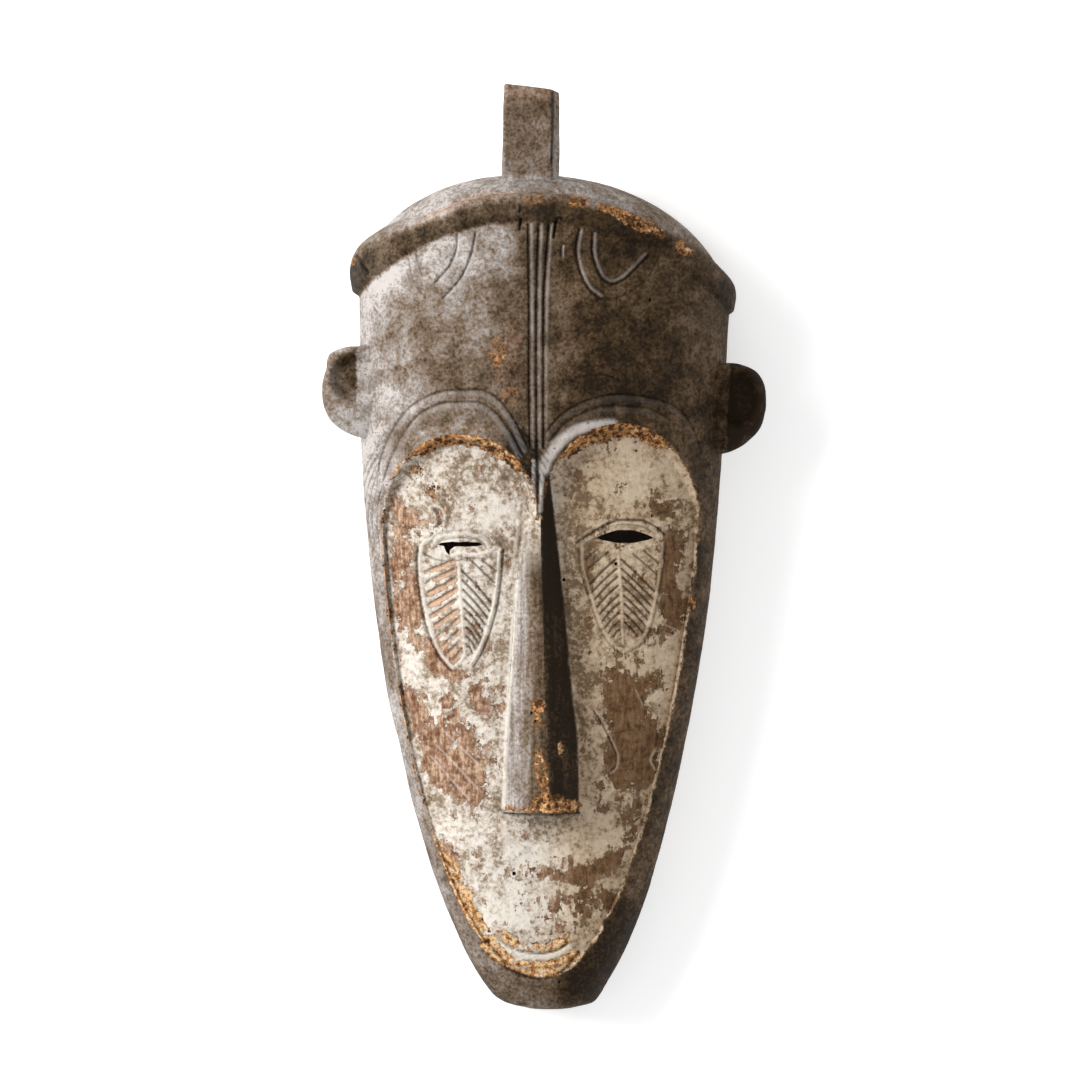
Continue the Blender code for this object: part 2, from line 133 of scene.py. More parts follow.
# Band over the forehead: lower edge along the middle, and how far it falls.
BAND_EDGE = 166.0
BAND_FALL = 38.0
BAND_TALL = 15.0
BAND_PROUD = 7.0
BAND_THIN_LEFT = 0.6
BAND_THIN_RIGHT = 2.6
BAND_WIDENS = (15.0, 5.0)

# Hollow back: side wall, where it starts and ends, its crest, and its rows and columns.
WALL = 11.0
HOLLOW_REACH = (-223.0, 176.0)
HOLLOW_CREST = (
    (CHIN, 0), (-222, 12), (-205, 40), (-143, 54), (-60, 61),
    (0, 67), (45, 76), (90, 93), (130, 101), (158, 101),
    (168, 90), (175, 62),
)
HOLLOW_MESH = (110, 90)

# Crest prong, a squared peg a little narrower at the front than at the back.
PRONG_FRONT = (-22.0, 4.2)
PRONG_BACK = (-22.3, 8.3)
PRONG_TOP = CAD_HIGH.y / MM
PRONG_ROOT = 176.0
PRONG_DEPTH = (68.0, 88.0)
# How much lower its right corner is worn, and how far its left one leans in.
PRONG_WORN = (2.8, 1.6)
PRONG_BEVEL = 1.3
PRONG_CUTS = 18

# Ears: the outline's points out from the side of the head, as seen from the front; back
# and front; dishes (x, y, half width, half height); their depth; the height that both ears
# lie below; and segments round and along.
EAR_OUTLINES = (
    ((-84, 106), (-96.4, 105.2), (-106.4, 103.7), (-110.6, 101.6), (-112.2, 98),
     (-112.2, 94), (-114, 88.5), (CAD_LOW.x / MM, 80.5), (-113.2, 72.5), (-110.4, 67),
     (-105, 62.4), (-97.5, 58.8), (-84, 57.5)),
    ((84, 97.5), (94.2, 96.6), (103.1, 95.4), (109.9, 92), (113.2, 87.1),
     (CAD_HIGH.x / MM, 79.5), (113.8, 69.7), (111.8, 63.2), (106.3, 57), (99.5, 52.2),
     (84, 49.5)),
)
EAR_DEPTH = (27.0, 53.0)
EAR_DISHES = ((-97.5, 89, 13, 12.5), (99.5, 77.5, 11, 15))
EAR_DISH_DEEP = 9.5
EARS_BELOW = 110.0
EAR_MESH = (96, 64)

# Eye slits: (left corner, right corner, height, rise above it, fall below it, how blunt
# its ends are), and the break below the left one.
SLITS = ((-54.2, -31.2, 3, 1.25, 1.15, 5), (26.6, 56, 6.3, 4.1, 2.7, 2))
SLIT_BREAK = ((-51.4, 2.6), (-44.6, 2.6), (-48, 0.2), (-48.3, -2.6), (-50, -1))

# Beetle holes, (x, y), and how wide and deep they are.
BEETLE_HOLES = (
    (-6.6, -82.6), (-4.6, -86.6), (10.1, -15.1), (10.6, -113), (-15.4, -165.8),
    (46.9, 50.6), (55.1, 17.4), (36.7, -7), (7.7, -221.8), (-37.1, -203.8),
    (-62.3, -144.1), (-79.8, -32.9), (53.4, 126.7),
)
HOLE_RADIUS = 0.95
HOLE_DEEP = 6.0
# How near to a hole's middle, and how far below the skin, a point is inside the hole.
HOLE_NEAR = 2.5
HOLE_BELOW = 1.6

# How far cutters run past the surfaces they cut, and how near to the rim clay can reach.
PAST = 12.0
CLAY_ABOVE = 6.0
# Farthest distance from the heart's edge that the material is told of.
HEART_REACH = 30.0


def along(stations, column, height):
    """Smooth curve through a column of a station table."""
    table = np.array(stations, dtype=float)
    at, value = table[:, 0], table[:, column]
    slope = np.diff(value) / np.diff(at)
    bend = np.zeros(len(at))
    same = slope[:-1] * slope[1:] > 0
    mean = np.where(same, 2 * slope[:-1] * slope[1:] / np.where(same, slope[:-1] + slope[1:], 1), 0)
    bend[1:-1] = mean
    bend[0], bend[-1] = slope[0], slope[-1]
    h = np.clip(np.asarray(height, dtype=float), at[0], at[-1])
    i = np.clip(np.searchsorted(at, h) - 1, 0, len(at) - 2)
    wide = at[i + 1] - at[i]
    t = (h - at[i]) / wide
    return ((1 + 2 * t) * (1 - t) ** 2 * value[i] + t * (1 - t) ** 2 * wide * bend[i]
            + t * t * (3 - 2 * t) * value[i + 1] + t * t * (t - 1) * wide * bend[i + 1])


def ease(low, high, value):
    """Smooth step from 0 at low to 1 at high."""
    t = np.clip((value - low) / (high - low), 0, 1)
    return t * t * (3 - 2 * t)


def fade(low, high, value):
    """Smooth step from 1 at low to 0 at high."""
    return 1 - ease(low, high, value)


def chance(*cells):
    """Repeatable random number between 0 and 1 for each whole-numbered cell."""
    mixed = sum(cell * weight for cell, weight in zip(cells, (127.1, 311.7, 74.7, 19.3)))
    return np.modf(np.abs(np.sin(mixed) * 43758.5453))[0]


def lumps(points, size, seed=0):
    """Smooth random relief between -1 and 1 in space, with lumps of one size."""
    place = np.asarray(points, dtype=float) / np.asarray(size, dtype=float)
    cell = np.floor(place)
    part = place - cell
    part = part * part * (3 - 2 * part)
    total = np.zeros(place.shape[:-1])
    for corner in np.ndindex(2, 2, 2):
        share = np.ones(place.shape[:-1])
        for axis in range(3):
            share = share * (part[..., axis] if corner[axis] else 1 - part[..., axis])
        spot = [cell[..., axis] + corner[axis] for axis in range(3)]
        total += share * chance(*spot, seed)
    return 2 * total - 1


def lean(v):
    """Sideways fall of the crown to the right, growing from the eyes upward."""
    return CROWN_LEAN * ease(0.0, 120.0, v)


def edges(v):
    """Left and right edge of the block at one height."""
    left, right = along(OUTLINE, 1, v), along(OUTLINE, 2, v)
    t = np.clip(np.maximum(v - TEMPLE, 0) / CROWN, 0, 1)
    domes = [(1 - t ** full) ** (1 / full) for full in CROWN_FULL]
    return left * domes[0], right * domes[1]


def profile(v, columns, inset=0.0, crest=CREST, below=4.0, gather=0.0):
    """One cross-section from rim to rim over the front, its points gathered to the middle."""
    left, right = edges(v)
    middle, half = (left + right) / 2, max((right - left) / 2 - inset, 0.0)
    power = 2 / along(SQUARENESS, 1, v)
    turn = np.linspace(0, pi, 600)
    x = middle - half * np.sign(np.cos(turn)) * np.abs(np.cos(turn)) ** power
    z = float(along(crest, 1, v)) * np.abs(np.sin(turn)) ** power
    x = np.concatenate(([x[0]], x, [x[-1]]))
    z = np.concatenate(([-below], z, [-below]))
    run = np.concatenate(([0.0], np.cumsum(np.hypot(np.diff(x), np.diff(z)))))
    t = np.linspace(0, 1, columns)
    spread = run[-1] * (t + gather * np.sin(2 * pi * t) / (2 * pi))
    return np.interp(spread, run, x), np.interp(spread, run, z)


def hull(heights, columns, **kind):
    """Cross-sections stacked from the chin to the crown."""
    grid = np.zeros((len(heights), columns, 3))
    for row, v in enumerate(heights):
        x, z = profile(v, columns, **kind)
        grid[row] = np.stack((x, v - lean(v) * x, z), axis=1)
    return grid


def front(x, v, widen=1.0, squareness=None, sink=0.0):
    """Height of a smooth front over the point x at the height v."""
    left, right = edges(v)
    u = np.clip(np.abs((x - (left + right) / 2) / ((right - left) / 2 * widen + 1e-6)), 0, 1)
    power = along(SQUARENESS, 1, v) if squareness is None else squareness
    return (along(CREST, 1, v) - sink) * (1 - u ** power) ** (1 / power)


def inside_heart(x, y):
    """Distance in from the edge of the heart-shaped face, below zero outside it."""
    arch = []
    for middle, half, tall in ARCHES:
        reach = np.hypot((x - middle) / half, (y - ARCH_FOOT) / tall)
        arch.append((1 - reach) * (half + tall) / 2)
    t = np.clip((ARCH_FOOT - y) / (ARCH_FOOT - BOWL_TIP), 0, 1)
    left = BOWL_LEFT[0] * (1 - t ** BOWL_LEFT[1]) ** BOWL_LEFT[2]
    right = BOWL_RIGHT[0] * (1 - t ** BOWL_RIGHT[1]) ** BOWL_RIGHT[2]
    bowl = np.minimum(x - BOWL_MIDDLE + left, BOWL_MIDDLE + right - x)
    tip = (y - BOWL_TIP) * 0.9
    bowl = np.where(y < BOWL_TIP + 25, np.minimum(bowl, tip), bowl)
    return np.where(y > ARCH_FOOT, np.maximum(arch[0], arch[1]), bowl)


def across_nose(x, y):
    """Place across the nose: -1 at its left foot, 0 on the crest, 1 at its right foot."""
    left, right, crest = along(NOSE, 1, y), along(NOSE, 2, y), along(NOSE, 4, y)
    return np.where(x < crest, (x - crest) / (crest - left), (x - crest) / (right - crest))


def face_height(x, y, z, v):
    """Carve the sunk face, the brow rolls and the nose into the front."""
    deep = inside_heart(x, y)
    sunk = front(x, v, FACE_WIDEN, FACE_SQUARENESS, along(FACE_SINK, 1, y))
    slope = FACE_EDGE[0] + (FACE_EDGE[1] - FACE_EDGE[0]) * ease(0, 40, y)
    inner = ease(0, 1, deep / slope)
    roll = np.clip(1 + deep / BROW_ROLL_WIDTH, 0, 1) * (deep < 0) + (deep >= 0)
    brow = BROW_ROLL * ease(5, 40, y) * ease(0, 1, roll)
    carved = z + brow * (1 - inner) + np.minimum(sunk - z, 0) * inner
    middle = along(NOSE, 4, y)
    s = np.clip(across_nose(x, y), -1, 1)
    sunk_here = np.minimum(sunk, z)
    sunk_middle = front(middle, v, FACE_WIDEN, FACE_SQUARENESS, along(FACE_SINK, 1, y))
    rise = along(NOSE, 3, y) - sunk_middle
    roof = 1.95 - 0.4 * ease(-125, -10, y)
    nose = sunk_here + rise * (1 - np.abs(s) ** roof) ** 0.85
    on_nose = (y > NOSE_FOOT) * fade(*NOSE_RUNS_OUT, y)
    raised = np.maximum(carved, nose * on_nose + carved * (1 - on_nose))
    return np.where(on_nose > 0, raised, carved)


def across_band(x, v):
    """Place across the band: 0 at its lower edge, 1 at its upper edge."""
    low = BAND_EDGE - BAND_FALL * np.clip(np.abs(x) / TEMPLE_HALF, 0, 1) ** 2.2
    wider = BAND_WIDENS[0] * ease(55, 98, -x) + BAND_WIDENS[1] * ease(55, 98, x)
    return (v - low) / (BAND_TALL + wider)


def band_height(x, v):
    """How far the band stands off the front at one point."""
    u = np.clip(np.abs(x) / TEMPLE_HALF, 0, 1)
    t = across_band(x, v)
    rise = 0.55 * ease(-0.04, 0.06, t) + 0.45 * ease(0.0, 0.45, t)
    fall = 1 - ease(0.5, 1.02, t)
    proud = BAND_PROUD - np.where(x < 0, BAND_THIN_LEFT, BAND_THIN_RIGHT) * u ** 2
    return proud * rise * fall


def head_height(x, y):
    """Height along the leaning head of a point of the view."""
    v = y
    for _ in range(4):
        v = y + lean(v) * x
    return v


def surface_height(x, y):
    """The carved front over points of the view, without its fine relief."""
    v = head_height(x, y)
    z = front(x, v) + band_height(x, v)
    return np.where(v < FACE_TOP, face_height(x, y, z, v), z)


def smooth_run(points, steps=24):
    """Smooth run of points through a few given ones."""
    table = [(i, x, y) for i, (x, y) in enumerate(points)]
    at = np.linspace(0, len(points) - 1, steps)
    return list(zip(along(table, 1, at), along(table, 2, at)))


def shifted(points, by):
    """The same run moved sideways, to its left where by is positive."""
    run = np.array(points, dtype=float)
    step = np.gradient(run, axis=0)
    step /= np.linalg.norm(step, axis=1, keepdims=True)
    return list(zip(run[:, 0] - step[:, 1] * by, run[:, 1] + step[:, 0] * by))


def distance(x, y, points):
    """Distance from each spot to a run of points."""
    best = np.full(np.shape(x), 1e9)
    for (ax, ay), (bx, by) in zip(points, points[1:]):
        dx, dy = bx - ax, by - ay
        t = np.clip(((x - ax) * dx + (y - ay) * dy) / (dx * dx + dy * dy + 1e-9), 0, 1)
        best = np.minimum(best, np.hypot(x - ax - t * dx, y - ay - t * dy))
    return best


class Strokes:
    """Tool strokes on the front: each a run of points with a half width, rise and tint."""

    def __init__(self):
        self.all = []

    def draw(self, points, *lines, steps=24):
        """Lines along one smooth run, or straight between two points.

        A line is (shift to its left, half width, rise, tint). It is a groove, darkened by
        its tint, where its rise is below zero, and a raised line, made pale, elsewhere. Some
        of the darkening is painted shade and some of the paleness a painted highlight.
        """
        run = smooth_run(points, steps) if len(points) > 2 else points
        for shift, wide, rise, tint in lines:
            self.all.append((shifted(run, shift) if shift else run, wide, rise, tint))

    def lay(self, x, y):
        """Relief, darkness and paleness that the strokes give at each spot."""
        high, low, dark, pale = (np.zeros(x.shape) for _ in range(4))
        for points, wide, rise, tint in self.all:
            run = np.array(points)
            near = ((x > run[:, 0].min() - wide) & (x < run[:, 0].max() + wide)
                    & (y > run[:, 1].min() - wide) & (y < run[:, 1].max() + wide))
            t = np.clip(1 - distance(x[near], y[near], points) / wide, 0, 1)
            if rise < 0:
                low[near] = np.maximum(low[near], -rise * ease(-0.1, 1.1, t) * (t > 0))
                dark[near] = np.maximum(dark[near], tint * ease(0.0, 0.75, t))
            else:
                high[near] = np.maximum(high[near], rise * ease(0.0, 1.0, t))
                pale[near] = np.maximum(pale[near], tint * ease(0.05, 0.6, t))
        return high - low, dark, pale


# Leaves under the eyes, from the lids down to the tips: outlines, foot, ribs and furrows.
LEFT_LEAF_OUT = ((-62.6, 1.5), (-63.3, -5), (-63, -14), (-61.6, -25), (-59.4, -35.5),
                 (-56.6, -44.5), (-52.1, -53.8), (-46.4, -60.2))
LEFT_LEAF_IN = ((-22.6, 0.5), (-23.1, -5), (-24, -16), (-25.5, -27), (-27.8, -36),
                (-31.2, -46.2), (-35.4, -55.2), (-37.6, -58.2))
LEFT_LEAF_FOOT = ((-46.4, -60.2), (-43.2, -57.4), (-40.4, -53.6))
LEFT_RIB = ((-43.6, -7), (-43.1, -18), (-42.4, -28), (-41.4, -40), (-40.6, -53))
LEFT_FURROWS = (
    ((-60.2, -11.4), (-45.8, -5.6)), ((-60, -16.6), (-45.4, -10.2)),
    ((-59.6, -22.4), (-45.2, -15)), ((-58.8, -28.4), (-45, -20.4)),
    ((-57.6, -33.8), (-44.8, -25.6)), ((-55.8, -39), (-44.4, -30.9)),
    ((-53.8, -44.2), (-43.9, -36)), ((-51.2, -49), (-43.4, -41.6)),
    ((-48.6, -53.2), (-42.8, -47)), ((-45.8, -56.4), (-42.6, -52.2)),
)
RIGHT_LEAF_IN = ((19.4, 3), (19.5, -5.5), (21.4, -14.3), (24.1, -23), (27, -32),
                 (31.8, -43), (36.8, -49.2), (41, -51.6))
RIGHT_LEAF_OUT = ((60.6, 4), (59.8, -5.5), (58.7, -14.3), (56.9, -24.8), (55.2, -32.5),
                  (52.6, -41), (48.8, -47.2), (41, -51.6))
RIGHT_RIB = ((37.9, -1.5), (38.8, -13.4), (39.8, -26.6), (39.9, -37), (40.4, -48))

# Barbs of a leaf: rib, outline, first and last height, count, slopes at both ends, half
# width, rise, tint and room left at the rib and at the outline.
BARBS = (
    (LEFT_RIB, LEFT_LEAF_IN, (-8.5, -47), 9, (1.10, 1.35), (1, -0.85, 0.8), 1.8),
    (RIGHT_RIB, RIGHT_LEAF_IN, (-3.5, -44), 10, (0.95, 1.1), (0.95, -0.8, 0.8), 1.4),
    (RIGHT_RIB, RIGHT_LEAF_OUT, (-3.5, -44.5), 10, (0.95, 1.1), (0.95, -0.8, 0.8), 1.4),
)

# Closed mouth, and the lower edge of the lip under it.
MOUTH = ((-26.6, -199.6), (-22.5, -203.4), (-17, -206.6), (-9, -208.8), (-0.6, -209),
         (7, -207.4), (13.4, -203.6))
LIP_EDGE = ((-31, -205.5), (-24, -211), (-16, -215.6), (-8, -218.6), (-0.6, -219.4),
            (6.5, -217.4), (13, -212), (17, -206.5))

# Lids and marks of the face: the run's points, then its lines as Strokes.draw takes them.
FACE_MARKS = (
    (((-57, 2.4), (-54.6, 5.6), (-49.5, 7.6), (-42, 8.2), (-34, 7.2), (-29.6, 4.6), (-27.6, 1.6)),
     (0, 1.5, 0.75, 0.55), (-1.9, 0.6, -0.45, 0.5), (1.9, 0.6, -0.35, 0.35)),
    (((-62.8, 2), (-60.5, 5), (-57, 6.2)), (0, 1.3, 0.5, 0.8)),
    (((-47, -3), (-42, -1.4), (-36, -2.4), (-30, -1.4), (-24.4, 1.4)), (0, 1.4, 0.6, 0.8)),
    (((-44, -5.4), (-38, -3.8), (-31, -4.4)), (0, 0.7, -0.4, 0.5)),
    (((-58.6, -1.6), (-54, -3.6), (-50.4, -4.4)), (0, 1.2, 0.45, 0.7)),
    (((-61.4, -1.8), (-56, -4.6), (-50, -5.8)), (0, 0.8, -0.4, 0.5)),
    (((-12, 37), (-19.5, 46), (-26, 50)), (0, 0.8, -0.35, 0.4)),
    (((16.3, 3.6), (20.5, 6.4), (25, 9.3), (31, 12.6), (39.5, 15.4), (47.5, 15.4), (55, 13.2),
      (61.5, 8)), (0, 0.8, -0.65, 0.8), (1.5, 1, 0.4, 0.25), (-2, 1.4, 0.6, 0.3)),
    (((26, 9.4), (33.5, 12.2), (41.5, 13.2), (50.5, 11.9), (57, 8.2)), (0, 0.6, -0.35, 0.5)),
    (((27.5, 1), (38, -1), (50, 1.2), (58.5, 3.4)), (0, 1.2, 0.4, 0.4)),
    (((-13.4, -16), (-16, -41.1), (-18.8, -88), (-20.3, -123.1), (-20.7, -131.5)),
     (0, 1.7, 0.5, 0.9)),
    # Dark groove under the nose's foot, darkened partly as painted shade under the nose.
    (((-20.4, -134.6), (-8, -135), (6, -135.1), (18.2, -134.4)), (0, 0.8, -0.7, 0.95)),
    (MOUTH, (0, 1.9, 0.2, 1.15), (4.4, 2, 0.7, 0), (-4.4, 2.2, 0.9, 0)),
    # Dark groove under the lower lip, darkened as painted shadow under the lip.
    (LIP_EDGE, (-0.6, 1, -0.9, 0.75)),
    (((25.2, -82.1), (30.1, -89.8), (34.7, -99.5), (37, -106.1), (36.4, -110.9), (33.4, -113.3)),
     (0, 0.6, -0.5, 0.8), (1.1, 0.8, 0.3, 0.45)),
    (((57.4, -102.4), (54.7, -107.7), (57.2, -113)), (0, 0.9, 0.35, 0.7)),
    (((-55.8, 22.8), (-52.6, 21.6), (-50.8, 17), (-51.4, 12), (-53.8, 9.6)), (0, 1, 0.4, 0.8)),
    (((-56.4, 20.6), (-54.4, 18.6), (-53.6, 14.6), (-55, 12.2)), (0, 1.5, -0.5, 0.6)),
    (LEFT_LEAF_OUT, (0, 1.35, 0.7, 0.8), (-2, 0.9, -0.7, 0.75)),
    (LEFT_LEAF_IN, (0, 1.35, 0.7, 0.8), (2, 0.9, -0.7, 0.75)),
    (LEFT_RIB, (0, 1.1, 0.5, 0.8)),
    (RIGHT_LEAF_IN, (0, 1, 0.45, 0.45), (-1.6, 0.7, -0.5, 0.45)),
    (RIGHT_LEAF_OUT, (0, 1, 0.45, 0.45), (1.6, 0.7, -0.5, 0.45)),
    (RIGHT_RIB, (0, 1, 0.45, 0.55)),
)
# Pale folds that run down beside the nose: their points, and how far out each lies.
FOLD = ((-7, 33), (-4.2, 24), (-5, 8), (-8.5, -14))
FOLDS_OUT = (2.6, 5.4, 8.4)

# Straight scratches, and short barbs under the lids.
SCRATCHES = (
    ((46.9, -71.6), (50.6, -79.8)), ((59.8, -37.3), (70, -41.7)), ((62.4, -42.6), (67.7, -44.6)),
    ((-50, -128), (-40, -146)), ((-55, -100), (-34, -122)), ((-58, -106), (-38, -128)),
    ((-52, -92), (-33, -110)), ((-24, 33), (-17, 24)),
)
LEFT_SHORT_BARBS = (((-37.5, -5), (-25.4, -16.5)), ((-31.5, -5.2), (-24.6, -10.5)))
RIGHT_SHORT_BARBS = (((32.6, -1), (22.4, -9.6)), ((27.4, 0.6), (21.2, -4.6)),
                     ((45.6, -2), (57.4, -12)), ((51, -0.4), (58.6, -6.4)))

# Middle lines of the forehead: x over the brows, and x at the band.
MIDDLE_LINES = ((-7.7, -8.2), (-4, -2.9), (-0.4, 2.4))
CROWN_ARCS = (
    ((-34.9, 160.6), (-36.1, 152.6), (-38.4, 145.2), (-42.5, 137.2), (-51.5, 127.5)),
    ((-44, 159.6), (-44.5, 152.6), (-47.5, 144.5), (-55.6, 135.4)),
    ((17.6, 161.6), (16, 151), (17.6, 141.5), (22.4, 131.6), (28.2, 126.8)),
    ((24.4, 159.6), (24, 151), (26.4, 142), (29.8, 136.2), (34.6, 134.2),
     (40, 136.4), (45.9, 142), (52.5, 149)),
)
FAINT_ARCS = (
    ((-60.1, 127.8), (-66.7, 137.4), (-69.7, 151.5)), ((-62.1, 138.9), (-65.7, 152.6)),
    ((30.5, 125.6), (38.3, 127.8), (47.4, 133.4), (53.9, 140.4), (57.5, 147.5)),
    ((15.5, 89.6), (23.2, 92.8), (32.3, 92.2)),
    ((12, 84), (20, 88), (30, 88.6), (38, 86)),
)
# Brow lines: depth, tint, tint of the burr beside it, points.
BROW_LINES = (
    (0.85, 0.55, 0.24,
     ((-86, 33), (-84.3, 45), (-80.6, 55.4), (-75.6, 64.2), (-69.8, 71.5), (-60.7, 77.5),
      (-49.1, 81), (-34, 81.4), (-26, 78.6), (-16.6, 68.6), (-7.8, 51.5))),
    (0.6, 0.55, 0.24,
     ((-82.4, 35.5), (-77, 50), (-71.1, 60.4), (-65.9, 67.2), (-58.1, 72.4),
      (-47.8, 75.2), (-35, 75.2), (-26.6, 71.6), (-18.6, 62.4), (-10.6, 48.5))),
    (0.85, 0.42, 0.06,
     ((0, 58), (6.4, 66.3), (12.9, 71.5), (23.2, 76.2), (38.4, 79.1), (56.2, 77.1),
      (68.5, 72), (75.5, 63.5), (80, 52))),
    (0.6, 0.42, 0.06,
     ((2.6, 55.4), (10.3, 63.7), (20.7, 69.8), (34, 73.2), (50, 72.6), (62, 68))),
)
# Fine cuts round the left arch: how many, the first one's distance and the step between.
ARCH_CUTS = (6, 3.0, 2.5)
# Nicks of the band and marks over the nose's root, laid out like those of the face. Over the root, a dark
# groove is painted shade in the valley between the brows, and the pale line beside it is a painted
# highlight on its lit edge.
CROWN_MARKS = (
    (((-11.6, 166.4), (-12.4, 161.6)), (0, 1.2, -1.8, 0.9)),
    (((-12, 173.5), (-12.4, 170)), (0, 0.9, -0.9, 0.8)),
    (((8.4, 152.8), (8.3, 148)), (0, 0.7, -0.6, 0.8)),
    (((9.8, 153), (9.7, 148)), (0, 0.6, 0.3, 0.7)),
    (((-3.8, 56), (-3.6, 47), (-3.3, 36), (-3, 24)), (0, 1.3, -0.8, 0.9)),
    (((-1.8, 20), (-1.5, 30), (-0.9, 38), (1.4, 46)), (0, 1.6, 0.3, 0.8)),
)
# Angular cracks of the band and the prong: points, half width, rise and tint.
CRACKS = (
    (((8.6, 167), (6, 165.6), (5.2, 161), (4.6, 157.6)), 1.1, -2.0, 1.0),
    (((-97.4, 152.6), (-95, 149.6), (-93.4, 146.4), (-90.4, 142.4)), 1.15, -2.4, 1.0),
    (((4.6, 233), (4.4, 214), (3.6, 196)), 1.0, -0.6, 0.9),
)
# Painted highlight on a very low ridge, from the nose's root over the right arch: the lit left flank of
# the right brow.
ROOT_HIGHLIGHT = ((-0.4, 40.5), (1.6, 46), (5.6, 52), (10.9, 57.4), (17.2, 61.3), (25.3, 62.8),
              (34, 63.6))


def edge_at(outline, y):
    """The outline's x at one height."""
    table = sorted((b, a) for a, b in outline)
    return float(along(table, 1, y))


def barbs(strokes, rib, outline, ends, count, slopes, line, room):
    """Slanting cuts that fall from the rib of a leaf to its outline."""
    for i in range(count):
        share = i / (count - 1)
        y = ends[0] + (ends[1] - ends[0]) * share
        slope = slopes[0] + (slopes[1] - slopes[0]) * share
        start = edge_at(rib, y)
        out = -1 if edge_at(outline, y) < start else 1
        foot = y
        for _ in range(6):
            reach = abs(edge_at(outline, foot) - start) - room
            foot = y - slope * reach
        wave = 0.5 * (chance(i, count, 3.0) - 0.5)
        run = [(start + out * room, y - slope * room + wave),
               (start + out * (room + reach) / 2, y - slope * reach * 0.52 + wave),
               (start + out * reach, foot)]
        if reach > room + 1.5:
            strokes.draw(run, (0, *line), steps=6)


def face_strokes(strokes):
    """Lids, leaves, lips, folds and the loose marks on the cheeks."""
    for points, *lines in FACE_MARKS:
        strokes.draw(points, *lines)
    for leaf in BARBS:
        barbs(strokes, *leaf)
    strokes.draw(LEFT_LEAF_FOOT, (0, 1.2, 0.5, 1), steps=6)
    for ends in LEFT_SHORT_BARBS:
        strokes.draw(ends, (0, 0.9, -0.6, 0.7))
    # A thin dark line along the upper side of each furrow is painted shadow on its upper wall.
    for ends in LEFT_FURROWS:
        strokes.draw(ends, (1, 0.55, -0.25, 0.55))
    for ends in RIGHT_SHORT_BARBS:
        strokes.draw(ends, (0, 0.85, -0.65, 0.7))
    for ends in SCRATCHES:
        strokes.draw(ends, (0, 0.7, 0.25, 0.4))
    for out in FOLDS_OUT:
        fold = shifted(smooth_run(FOLD), -out)
        strokes.all += [(fold, 1.1, 0.22, 0.30), (shifted(fold, -1.6), 0.8, -0.22, 0.14)]
    lip = shifted(smooth_run(MOUTH), 2)
    strokes.all += [(lip[9:], 0.75, -1.0, 0.85), (lip[:10], 0.7, -0.7, 0.25)]


def furrow_strokes():
    """Wide furrows of the left leaf's outer half, rubbed down to brown wood."""
    furrows = Strokes()
    for start, end in LEFT_FURROWS:
        middle = ((start[0] + end[0]) / 2, (start[1] + end[1]) / 2 - 0.5)
        furrows.draw((start, middle, end), (0, 2, -1.1, 1), steps=8)
    return furrows


def crown_strokes(strokes):
    """Incised lines of the forehead, brows and band."""
    for x, top in MIDDLE_LINES:
        run = smooth_run(((top, 164), (0.7 * x + 0.3 * top, 140), (x, 120), (x, 90),
                          (0.94 * x, 52)), 30)
        # Beside each middle line, on its right, a low burr painted pale as a highlight on the groove's lit
        # wall.
        burr = shifted(run, 1.9)
        strokes.all += [(run, 0.85, -1.2, 0.75), (burr[:18], 1.15, 0.4, 0.36),
                        (burr[17:], 1.0, 0.35, 0.20)]
    for arc in CROWN_ARCS:
        strokes.draw(arc, (0, 0.95, -1, 0.75), (1.6, 1.1, 0.4, 0.30))
    for arc in FAINT_ARCS:
        strokes.draw(arc, (0, 0.7, -0.45, 0.45))
    for deep, tint, burr, brow in BROW_LINES:
        strokes.draw(brow, (0, 0.8, -deep, tint), (-2.2, 2, 0.4, burr), steps=40)
    middle, half, tall = ARCHES[0]
    count, nearest, step = ARCH_CUTS
    for number in range(count):
        out = nearest + step * number
        for start, end in ((20 + 3 * number, 46 + 3 * number), (196 - 3 * number, 158 - 4 * number)):
            turn = np.radians(np.linspace(start, end, 14))
            cut = zip(middle + (half + out) * np.cos(turn), ARCH_FOOT + (tall + out) * np.sin(turn))
            strokes.all.append((list(cut), 0.55, -0.35, 0.5))
    for points, *lines in CROWN_MARKS:
        strokes.draw(points, *lines)
    strokes.all += CRACKS
    strokes.draw(ROOT_HIGHLIGHT, (0, 3.9, 0.12, 0.85), steps=40)


def patches(x, y, table, outer=1.35, inner=0.65):
    """Sum of soft-edged ovals: (x, y, half width, half height, turn in degrees, strength)."""
    total = np.zeros(np.shape(x))
    for px, py, half, tall, turn, strength in table:
        c, s = np.cos(radians(turn)), np.sin(radians(turn))
        u, w = (x - px) * c + (y - py) * s, (y - py) * c - (x - px) * s
        total = total + strength * (1 - ease(inner, outer, np.hypot(u / half, w / tall)))
    return total


